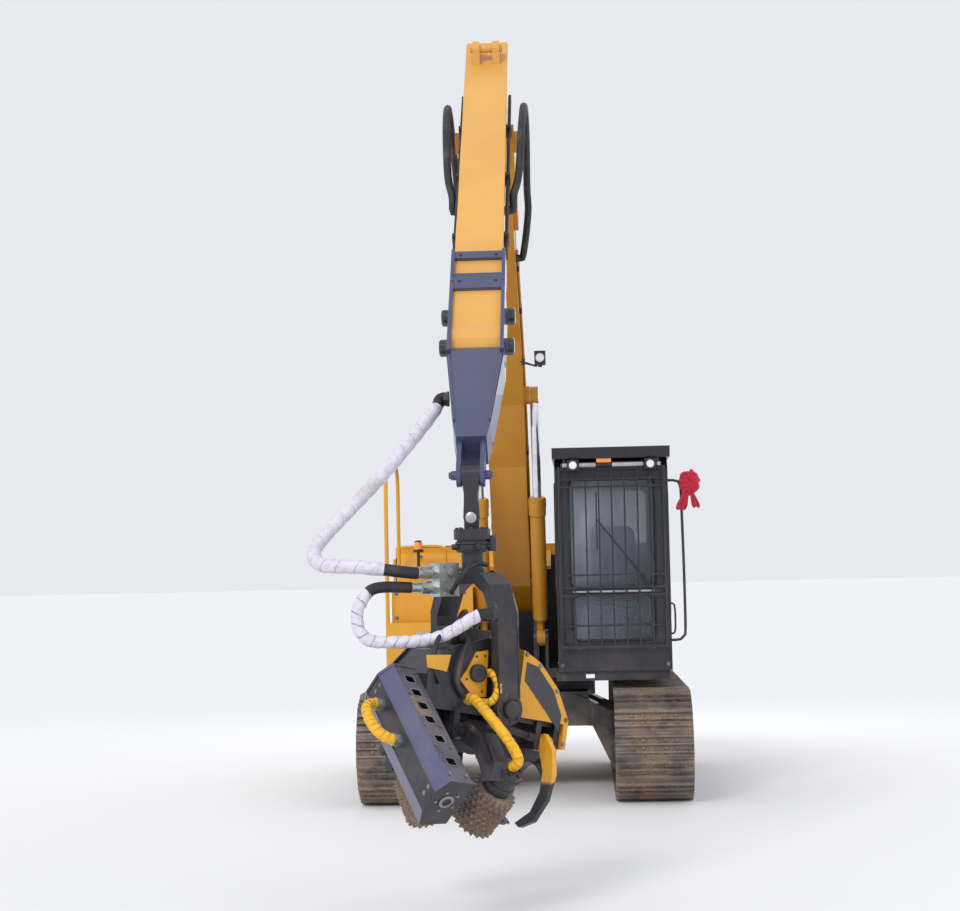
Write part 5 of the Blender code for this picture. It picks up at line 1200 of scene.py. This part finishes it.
def addBoom():
    low = [(-0.25, -0.13), (-0.75, 0.04), (-1.30, 0.22), (-1.90, 0.31), (-2.60, 0.27), (-3.40, 0.09),
           (-4.15, -0.10)]
    high = [(-4.15, 0.20), (-3.60, 0.35), (-3.00, 0.49), (-2.40, 0.62), (-1.90, 0.665), (-1.50, 0.64),
            (-1.00, 0.50),
            (-0.50, 0.30), (-0.16, 0.175)]
    bm = bmesh.new()
    for side in (-1, 1):
        for line in (low, high):
            inset = -0.010 if line is high else 0.010
            points = smoothRoute([(side * 0.150, y, z + inset) for y, z in line], 0.10)
            sweep(bm, points, lambda v, a: 0.0055 + 0.0012 * sin(v * 420), 8)
    fromMesh("boomWelds", bm, "boom", "boom_arm", boomFrame)
    bm = bmesh.new()
    route = [(-0.42, 0.20), (-1.0, 0.42), (-1.5, 0.565), (-1.95, 0.605), (-2.4, 0.57), (-3.0, 0.44),
             (-3.36, 0.345),
             (-3.44, 0.30)]
    for side in (-1, 1):
        for drop in (0.0, 0.036):
            sweep(bm, smoothRoute([(side * 0.160, y, z - drop) for y, z in route], 0.08), lambda v,
                  a: 0.0095, 12)
    fromMesh("boomPipes", bm, "boom", "boom_arm", boomFrame)
    bm = bmesh.new()
    for side in (-1, 1):
        for y, z in ((-0.60, 0.27), (-1.25, 0.50), (-2.15, 0.59), (-2.75, 0.495), (-3.25, 0.375)):
            addBox(bm, (side * 0.160 - 0.011, y - 0.022, z - 0.056),
                   (side * 0.160 + 0.011, y + 0.022, z + 0.018))
        addBoltRing(bm, (side * 0.219, -4.60, 0), (side, 0, 0), 0.048, 4, 0.010)
        addBox(bm, (side * 0.219 - 0.004, -4.63, -0.016), (side * 0.219 + 0.006, -4.50, 0.016))
        addLathe(bm, [(0.030, 0), (0.030, 0.02), (0.022, 0.03), (0, 0.03)], (side * 0.150, -3.40, 0.26),
                 (side, 0, 0), 16)
        addBoltRing(bm, (side * 0.170, 0, 0), (side, 0, 0), 0.11, 6, 0.010)
    fromMesh("boomClamps", bm, "cast", "boom_arm", boomFrame, bevel=0.002)
    # work lamp on its bracket
    bm = bmesh.new()
    addBox(bm, (0.140, -1.645, 3.415), (0.227, -1.565, 3.525))
    addLathe(bm, [(0.044, 0), (0.045, 0.008), (0.038, 0.010), (0.036, 0.002)], (0.1835, -1.645, 3.470),
             (0, -1, 0), 24)
    addPlate(bm, [(0.020, 3.44), (0.16, 3.40), (0.16, 3.412), (0.020, 3.46)], -1.62, -1.58, "XZ")
    addRod(bm, (0.1835, -1.60, 3.40), (0.1835, -1.60, 3.42), 0.016, 12)
    fromMesh("boomLampCase", bm, "plastic", "boom_arm", upperFrame, bevel=0.006)
    bm = bmesh.new()
    addLathe(bm, [(0.038, 0), (0.030, 0.007), (0, 0.010)], (0.1835, -1.6455, 3.470), (0, -1, 0), 24)
    fromMesh("boomLampLens", bm, "lampGlass", "boom_arm", upperFrame)
    # cylinder ends: painted eyes, gland sleeves and pipes
    for word, side in (("left", 1), ("right", -1)):
        pin = boomFrame @ Vector((side * liftSize["side"], *liftSize["eye"]))
        start = upperFrame @ Vector((liftSize["middle"] + side * liftSize["side"], *liftSize["foot"]))
        way = (pin - start).normalized()
        bm = bmesh.new()
        addRod(bm, pin - Vector((0.033, 0, 0)), pin + Vector((0.033, 0, 0)), liftSize["eyeRadius"], 30)
        fromMesh(word + "LiftEye", bm, "boom", word + "_lift_ram")
        bm = bmesh.new()
        addLathe(bm, [(0.062, 1.115), (0.0735, 1.117), (0.0735, 1.185), (0.062, 1.187)], start, way, 12)
        addRod(bm, start + way * 0.30, start + way * 0.32, 0.066, 24)
        off = way.cross(Vector((1, 0, 0))).normalized() * 0.078
        addRod(bm, start + way * 0.26 + off, start + way * 1.10 + off, 0.011, 12)
        addRod(bm, start + way * 0.26 + off * 1.1, start + way * 0.26 + off * 0.7, 0.019, 12)
        addRod(bm, start + way * 1.10 + off * 1.1, start + way * 1.10 + off * 0.7, 0.019, 12)
        fromMesh(word + "LiftFittings", bm, "boom", word + "_lift_tube")


def addStick():
    bm = bmesh.new()
    for side in (-1, 1):
        for line in ([(0.80, 0.35), (-2.28, 0.135)],
                     [(0.44, -0.03), (0.20, -0.135), (-0.05, -0.172), (-0.45, -0.162),
                                                      (-2.20, -0.122)]):
            sweep(bm, smoothRoute([(side * 0.145, y, z) for y, z in line], 0.15),
                  lambda v, a: 0.005 + 0.001 * sin(v * 420), 8)
    fromMesh("stickWelds", bm, "stick", "stick_arm", stickFrame)
    bm = bmesh.new()
    for side in (-1, 1):
        for drop in (0.0, 0.032):
            route = [(side * 0.163, 0.30, 0.20 - drop), (side * 0.163, -0.60, 0.16 - drop),
                     (side * 0.163, -1.30, 0.12 - drop), (side * 0.163, -1.66, 0.115 - drop)]
            sweep(bm, smoothRoute(route, 0.1), lambda v, a: 0.011, 10)
    fromMesh("stickPipes", bm, "rubber", "stick_arm", stickFrame)
    bm = bmesh.new()
    for side in (-1, 1):
        for y, z in ((-0.15, 0.165), (-0.75, 0.135), (-1.45, 0.10)):
            addBox(bm, (side * 0.162 - 0.018, y - 0.018, z - 0.045),
                   (side * 0.162 + 0.018, y + 0.018, z + 0.045))
        addLathe(bm, [(0.034, 0), (0.034, 0.016), (0.028, 0.03), (0, 0.03)], (side * 0.145, -0.98, 0.03),
                 (side, 0, 0), 18)
        addBoltRing(bm, (side * 0.109, 0.60, 0.42), (side, 0, 0), 0.013, 3, 0.005, 0.004)
    fromMesh("stickClamps", bm, "cast", "stick_arm", stickFrame, bevel=0.002)
    # clamp plates of the extension: bolts on the bands, nuts on the bosses
    bm = bmesh.new()
    slope = (0.36 - 0.14) / 3.14
    for s in (1.78, 2.045):
        z = 0.36 - slope * (s + 0.84) + 0.022
        for x in (-0.155, -0.11, 0.11, 0.155):
            addBolt(bm, (x, -s, z), (0, 0, 1), 0.009, 0.008)
    for side in (-1, 1):
        addBolt(bm, (side * 0.104, -3.72, 0), (side, 0, 0), 0.018, 0.016)
    fromMesh("bracketBolts", bm, "slate", "stick_arm", stickFrame)
    bm = bmesh.new()
    for side in (-1, 1):
        for s in (2.18, 2.50):
            addLathe(bm, [(0.052, -0.03), (0.052, -0.002), (0.045, 0.006), (0.020, 0.008), (0.016, 0.003),
                          (0, 0.003)],
                     (side * 0.2173, -s, 0), (side, 0, 0), 28)
    fromMesh("bracketBosses", bm, "blank", "stick_arm", stickFrame)
    bm = bmesh.new()
    for side in (-1, 1):
        edge = [(side * x, y) for x, y in ((0.160, -2.72), (0.103, -3.36), (0.094, -3.36), (0.148, -2.72))]
        for low, high in ((0.1003, 0.112), (-0.112, -0.1003)):
            addPlate(bm, edge, low, high, "XY")
    fromMesh("bracketEdges", bm, "slate", "stick_arm", stickFrame, bevel=0.003)
    # steel connector where the supply hose leaves
    bm = bmesh.new()
    at = Vector((-0.148, -2.985, -0.02))
    addLathe(bm, [(0.048, 0.0), (0.048, 0.014), (0.043, 0.016), (0.043, 0.03), (0.0, 0.03)], at, (-1, 0, 0),
             6)
    fromMesh("supplyConnector", bm, "plastic", "stick_arm", stickFrame)


addBoom()
addStick()
print("boom and stick trimmed")

# link, rotator, yoke


def addHanger():
    bm = bmesh.new()
    for side in (-1, 1):
        addLathe(bm, [(0.030, -0.004), (0.030, 0.004), (0.022, 0.008), (0, 0.009)],
                 (0, side * 0.078, -0.232), (0, side, 0), 20)
    fromMesh("linkPinCaps", bm, "zinc", "link", linkFrame)
    bm = bmesh.new()
    addBoltRing(bm, (0, 0, 2.02), (0, 0, 1), 0.082, 8, 0.010, 0.010)
    addLathe(bm, [(0.085, 1.955), (0.093, 1.950), (0.093, 1.940), (0.085, 1.935)], (0, 0, 0), (0, 0, 1), 36)
    addLathe(bm, [(0.085, 1.915), (0.091, 1.911), (0.091, 1.905), (0.085, 1.900)], (0, 0, 0), (0, 0, 1), 36)
    for angle in (20, 100, 200, 290):
        way = Vector((cos(radians(angle)), sin(radians(angle)), 0))
        addRod(bm, way * 0.08 + Vector((0, 0, 1.925)), way * 0.115 + Vector((0, 0, 1.925)), 0.016, 6)
    fromMesh("rotatorTrim", bm, "cast", "swivel", swivelFrame)
    bm = bmesh.new()
    for side in (-1, 1):
        addLathe(bm, [(0.085, -0.004), (0.085, 0.002), (0.074, 0.006), (0.05, 0.006), (0.05, -0.002)],
                 (0, side * 0.30, 0),
                 (0, side, 0), 30)
        addBoltRing(bm, (0, side * 0.304, 0), (0, side, 0), 0.064, 8, 0.008, 0.008)
        addLathe(bm, [(0.046, 0), (0.046, 0.003), (0.020, 0.007), (0, 0.007)], (0, side * 0.325, 0),
                 (0, side, 0), 26)
        # stiffening strips down both edges of the arms
        for edge in (-1, 1):
            addPlate(bm, [(side * 0.303, -0.02), (side * 0.303, 0.515), (side * 0.245, 0.652),
                          (side * 0.236, 0.646),
                          (side * 0.293, 0.512), (side * 0.293, -0.02)], edge * 0.066 - 0.005,
                          edge * 0.066 + 0.005)
    fromMesh("yokeTrim", bm, "cast", "hanger", yokeFrame, bevel=0.001)
    bm = bmesh.new()
    face, side = manifold["face"], manifold["side"]
    for port in ("supply", "loop"):
        z = manifold[port] - tiltPin.z
        addRod(bm, (face + 0.004, side, z), (face - 0.030, side, z), 0.040, 6)
        addRod(bm, (face - 0.028, side, z), (face - 0.075, side, z), 0.034, 24)
        addRod(bm, (face - 0.070, side, z), (face - 0.095, side, z), 0.038, 6)
    for z in (1.675, 1.75, 1.825):
        addBolt(bm, (-0.10, side - 0.05, z - tiltPin.z), (0, -1, 0), 0.010)
        addBolt(bm, (-0.16, side - 0.05, z - tiltPin.z), (0, -1, 0), 0.010)
    addLathe(bm, [(0.022, 0), (0.022, 0.012), (0, 0.016)], (-0.13, side - 0.05, 1.79 - tiltPin.z),
             (0, -1, 0), 20)
    fromMesh("manifoldFittings", bm, "zinc", "hanger", yokeFrame)
    bm = bmesh.new()
    addRod(bm, (-0.068, -0.2725, 0.50), (-0.105, -0.2725, 0.50), 0.040, 6)
    addRod(bm, (-0.100, -0.2725, 0.50), (-0.145, -0.2725, 0.50), 0.033, 20)
    fromMesh("loopSocket", bm, "plastic", "hanger", yokeFrame)
    # short jumper hose round the yoke's neck
    points = [(-0.12, 0.03, 0.62), (-0.16, -0.06, 0.66), (-0.13, -0.12, 0.74), (-0.05, -0.11, 0.775),
              (0.02, -0.10, 0.765)]
    bm = bmesh.new()
    sweep(bm, smoothRoute(points, 0.02), lambda v, a: 0.013, 12)
    fromMesh("jumperA", bm, "rubber", "hanger", yokeFrame)


addHanger()
print("hanger trimmed")

# harvester head

def addHead():
    near = -headSize["cover"]
    bm = bmesh.new()
    addPlate(bm, [(0.125, 0.17), (0.125, 0.27), (0.205, 0.255), (0.33, 0.145), (0.405, 0.02), (0.40, -0.07),
                  (0.30, 0.02)],
             near - 0.0025, near - 0.0003, "XZ")
    fromMesh("coverBlank", bm, "blank", "head", headFrame)
    bm = bmesh.new()
    for x, z in ((0.12, 0.0), (0.12, 0.31), (0.22, 0.262), (0.355, 0.145), (0.442, 0.0), (0.44, -0.13)):
        addBolt(bm, (x, near, z), (0, -1, 0), 0.010)
    fromMesh("coverBolts", bm, "bolt", "head", headFrame)
    # yellow panels either side of the dark boss on the near face
    bm = bmesh.new()
    face = -headSize["side"]
    panel = [(-0.275, 0.115), (-0.177, 0.039), (-0.092, 0.05), (-0.117, 0.296), (-0.194, 0.275),
             (-0.233, 0.184)]
    addPlate(bm, panel, face - 0.014, face - 0.0003, "XZ")
    addPlate(bm, [(-0.505, 0.212), (-0.353, 0.236), (-0.365, 0.145), (-0.488, 0.148)], face - 0.012,
             face - 0.0003, "XZ")
    fromMesh("headPanels", bm, "yellow", "head", headFrame, bevel=0.004)
    bm = bmesh.new()
    addLathe(bm, [(0.048, 0), (0.048, 0.030), (0.040, 0.036), (0.018, 0.036), (0.016, 0.028), (0, 0.028)],
             (-0.175, face - 0.010, 0.165), (0, -1, 0), 28)
    for x, z in ((-0.235, 0.125), (-0.125, 0.075), (-0.135, 0.262), (-0.19, 0.252)):
        addBolt(bm, (x, face - 0.014, z), (0, -1, 0), 0.005, 0.004)
    # ribs along the frame's top edges and down its ends
    top = [(-0.475, 0.12), (-0.36, 0.26), (-0.12, 0.34), (0.08, 0.34), (0.24, 0.22), (0.40, 0.10)]
    for side in (-1, 1):
        outer = [(x, z + 0.020) for x, z in top]
        addPlate(bm, top + outer[::-1], side * 0.183 - 0.006, side * 0.183 + 0.006, "XZ")
    for x, rise in ((-0.30, 0.296), (-0.02, 0.352), (0.14, 0.306)):
        addBox(bm, (x - 0.006, -0.18, 0.20), (x + 0.006, 0.18, rise))
    fromMesh("headRibs", bm, "black", "head", headFrame, bevel=0.002)
    # valve block, fittings and jumper hoses on top of the frame
    bm = bmesh.new()
    addBox(bm, (-0.30, -0.11, 0.27), (-0.16, 0.09, 0.395))
    addBox(bm, (-0.14, 0.02, 0.33), (0.05, 0.15, 0.42))
    addRod(bm, (-0.24, -0.11, 0.34), (-0.24, -0.165, 0.34), 0.030, 24)
    addRod(bm, (-0.20, 0.09, 0.34), (-0.20, 0.13, 0.34), 0.024, 20)
    for x in (-0.11, -0.06, -0.01):
        addRod(bm, (x, 0.085, 0.42), (x, 0.085, 0.448), 0.017, 6)
    fromMesh("valveBlocks", bm, "cast", "head", headFrame, bevel=0.004)
    bm = bmesh.new()
    for points in ([(-0.11, 0.085, 0.44), (-0.12, 0.04, 0.50), (-0.20, -0.03, 0.47), (-0.24, -0.06, 0.39)],
                   [(-0.06, 0.085, 0.44), (-0.05, 0.02, 0.50), (0.03, -0.08, 0.45), (0.06, -0.15, 0.35),
                    (0.05, -0.20, 0.25)],
                   [(-0.01, 0.085, 0.44), (0.04, 0.09, 0.50), (0.12, 0.05, 0.45), (0.16, 0.0, 0.34),
                    (0.15, -0.02, 0.28)],
                   [(-0.28, -0.08, 0.36), (-0.36, -0.12, 0.36), (-0.42, -0.15, 0.28), (-0.44, -0.18, 0.17),
                    (-0.40, -0.205, 0.08)],
                   [(-0.26, -0.165, 0.34), (-0.26, -0.21, 0.32), (-0.30, -0.225, 0.22),
                    (-0.30, -0.215, 0.10), (-0.24, -0.205, 0.03)]):
        sweep(bm, smoothRoute(points, 0.02), lambda v, a: 0.0135, 12)
    fromMesh("headJumpers", bm, "rubber", "head", headFrame)
    # arm cylinder along the near side: painted barrel, bright rod
    bm = bmesh.new()
    addRod(bm, (0.02, -0.214, -0.088), (0.21, -0.214, -0.113), 0.020, 24)
    addRod(bm, (0.20, -0.214, -0.112), (0.262, -0.214, -0.120), 0.023, 24)
    fromMesh("armCylinder", bm, "cast", "head", headFrame)
    bm = bmesh.new()
    addRod(bm, (-0.055, -0.214, -0.078), (0.03, -0.214, -0.089), 0.010, 20)
    fromMesh("armCylinderRod", bm, "chrome", "head", headFrame)
    # end plates with their bolts, and the fixed top knives' edges
    bm = bmesh.new()
    for x, side in ((-0.4753, -1), (0.475, 1)):
        for y in (-0.15, 0.0, 0.15):
            addBolt(bm, (x, y, 0.0 if side < 0 else -0.02), (side, 0, 0), 0.011)
    addBox(bm, (-0.44, -0.09, -0.246), (0.44, -0.075, -0.239))
    addBox(bm, (-0.44, 0.075, -0.246), (0.44, 0.09, -0.239))
    for x in range(-3, 4):
        addRod(bm, (x * 0.12, 0, -0.240), (x * 0.12, 0, -0.252), 0.020, 8)
    fromMesh("headPlates", bm, "cast", "head", headFrame)


def addArms():
    for side, word, body in ((-1, "left", "near"), (1, "right", "far")):
        y0, z0 = headSize["armPivot"]
        pivot = headFrame @ Matrix.Translation((headSize["armX"], side * y0, z0))
        motor = Vector((headSize["roller"][0], side * headSize["roller"][1], headSize["roller"][2]))
        axis = Vector((0, -side * headSize["rollerLean"][0], -headSize["rollerLean"][1])).normalized()
        # roller: core, rings of cleats
        start = axis * (headSize["motorHalf"] + gap)
        length, radius = headSize["rollerLength"], headSize["rollerRadius"]
        bm = bmesh.new()
        core = radius - 0.024
        addLathe(bm, [(0, 0), (core - 0.01, 0), (core, 0.010), (core, length - 0.010),
                      (core - 0.012, length),
                      (0.05, length), (0.045, length - 0.012), (0, length - 0.012)], motor + start, axis, 36)
        side1 = axis.orthogonal().normalized()
        side2 = axis.cross(side1)
        for ring in range(8):
            height = 0.018 + (length - 0.036) * ring / 7
            for k in range(20):
                angle = 2 * pi * (k + 0.5 * (ring % 2)) / 20
                out = side1 * cos(angle) + side2 * sin(angle)
                across = axis.cross(out)
                centre = motor + start + axis * height
                foot = [centre + out * (core - 0.002) + axis * a * 0.013 + across * b * 0.010
                        for a, b in ((-1, -1), (1, -1), (1, 1), (-1, 1))]
                crown = [centre + out * (radius - 0.0005) + axis * a * 0.006 + across * b * 0.003
                         for a, b in ((-1, -1), (1, -1), (1, 1), (-1, 1))]
                low = [bm.verts.new(p) for p in foot]
                high = [bm.verts.new(p) for p in crown]
                bm.faces.new(high)
                bm.faces.new(low[::-1])
                for t in range(4):
                    bm.faces.new([low[t], low[(t + 1) % 4], high[(t + 1) % 4], high[t]])
        obj = fromMesh(word + "SpikedRoller", bm, "track", body + "_roller", pivot)
        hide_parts(word + "_feed_roller")
        bm = bmesh.new()
        end = motor - axis * headSize["motorHalf"]
        addBoltRing(bm, end, -axis, 0.055, 6, 0.009, 0.009)
        addLathe(bm, [(0.035, 0), (0.035, 0.004), (0, 0.006)], end, -axis, 20)
        for height in (-0.045, 0.02):
            addLathe(bm, [(0.0755, height), (0.081, height + 0.004), (0.081, height + 0.012),
                          (0.0755, height + 0.016)],
                     motor, axis, 28)
        rib = [(-0.02, 0.03), (0.05, 0.05), (0.19, -0.005), (0.29, -0.13), (0.275, -0.16), (0.175, -0.035),
               (0.05, 0.02)]
        for x in (-0.052, 0.0453):
            addPlate(bm, [(side * u, v) for u, v in rib], x, x + 0.0067)
        addLathe(bm, [(0.030, 0), (0.030, 0.006), (0, 0.010)], (-0.126, 0, 0), (-1, 0, 0), 20)
        fromMesh(word + "ArmTrim", bm, "cast", body + "_arm", pivot)
        # knife edge on the inner curve
        place = headFrame @ Matrix.Translation((headSize["knifeX"], side * y0, z0))
        low = -0.036 if side < 0 else 0.006
        inner = [(-0.10, -0.44), (0.02, -0.37), (0.08, -0.26), (0.085, -0.15)]
        outer = [(0.105, -0.15), (0.10, -0.27), (0.035, -0.388), (-0.092, -0.453)]
        bm = bmesh.new()
        addPlate(bm, [(side * u, v) for u, v in inner + outer], low + 0.0303, low + 0.036)
        fromMesh(word + "KnifeEdge", bm, "blank", body + "_knife", place)
        bm = bmesh.new()
        for u, v in ((0.02, 0.02), (0.11, -0.06), (0.125, -0.16)):
            addBolt(bm, (low + 0.030, side * u, v), (1, 0, 0), 0.010)
        fromMesh(word + "KnifeBolts", bm, "bolt", body + "_knife", place)


def addSaw():
    place = sawFrame()
    length = sawBox["length"]
    bm = bmesh.new()
    # thin rods in the lighter slate along both folds of the box: painted highlights on its edges
    for x, y in ((-0.1405, 0.1505), (-0.1855, 0.070), (-0.1855, -0.060)):
        addRod(bm, (x, y, 0.012), (x, y, length - 0.012), 0.0035, 10)
    fromMesh("sawBoxFoldHighlights", bm, "sawSlate", "head", place)
    bm = bmesh.new()
    for z in (0.05, 0.22, 0.45, 0.60, 0.80):
        addBolt(bm, (-0.125, 0.150, z), (0, 1, 0), 0.010, 0.007)
        addBolt(bm, (-0.025, 0.150, z), (0, 1, 0), 0.010, 0.007)
    for y, z in ((0.0, 0.06), (0.0, 0.79), (0.045, 0.06), (0.045, 0.79)):
        addBolt(bm, (-0.185, y, z), (-1, 0, 0), 0.010, 0.003)
    fromMesh("sawBoxBolts", bm, "bolt", "head", place)
    # window frames
    bm = bmesh.new()
    for low in (0.08, 0.18, 0.28, 0.38, 0.52, 0.68):
        addLoop(bm, [(x, 0.151, z) for x, z in roundedRectangle((-0.105, low), (-0.045, low + 0.055), 0.012,
                                                                3)], 0.004, 6)
    # machined ring and plate on the low end
    addLathe(bm, [(0.040, 0.0), (0.040, 0.006), (0.033, 0.009), (0.026, 0.009), (0.024, 0.001)],
             (-0.09, 0.02, length + 0.003),
             (0, 0, 1), 26)
    addBoltRing(bm, (-0.09, 0.02, length + 0.004), (0, 0, 1), 0.062, 5, 0.007, 0.006)
    fromMesh("sawBoxRims", bm, "bolt", "head", place)
    # yellow hose seats
    bm = bmesh.new()
    for z in sawBox["seats"]:
        addRod(bm, (-0.184, 0, z), (-0.205, 0, z), 0.036, 6)
        addRod(bm, (-0.200, 0, z), (-0.228, 0, z), 0.033, 20)
    fromMesh("sawHoseSeats", bm, "zinc", "head", place)
    # saw chain round the bar
    outline = [(-0.045, 0.09), (-0.03, 0.74), (0.0, 0.77), (0.035, 0.755), (0.055, 0.70), (0.055, 0.09)]
    bm = bmesh.new()
    points = smoothRoute([(0, y, z) for y, z in outline], 0.02)
    for i, (a, b) in enumerate(zip(points, points[1:])):
        way = (b - a).normalized()
        out = Vector((0, -way.z, way.y)) * -1
        middle = (a + b) / 2
        shift = Vector((-0.0795 if i % 2 else -0.0765, 0, 0))
        corners = []
        for along, up in ((-1, -0.2), (1, -0.2), (1, 0.5), (0.3, 1.0), (-1, 0.5)):
            corners.append(middle + shift + way * along * (b - a).length * 0.42 + out * up * 0.009)
        low = [bm.verts.new(p) for p in corners]
        high = [bm.verts.new(p + Vector((0.006, 0, 0))) for p in corners]
        bm.faces.new(low)
        bm.faces.new(high[::-1])
        for t in range(5):
            bm.faces.new([low[t], low[(t + 1) % 5], high[(t + 1) % 5], high[t]])
    fromMesh("sawChain", bm, "bar", "bar", place)


addHead()
addArms()
addSaw()
print("head trimmed")
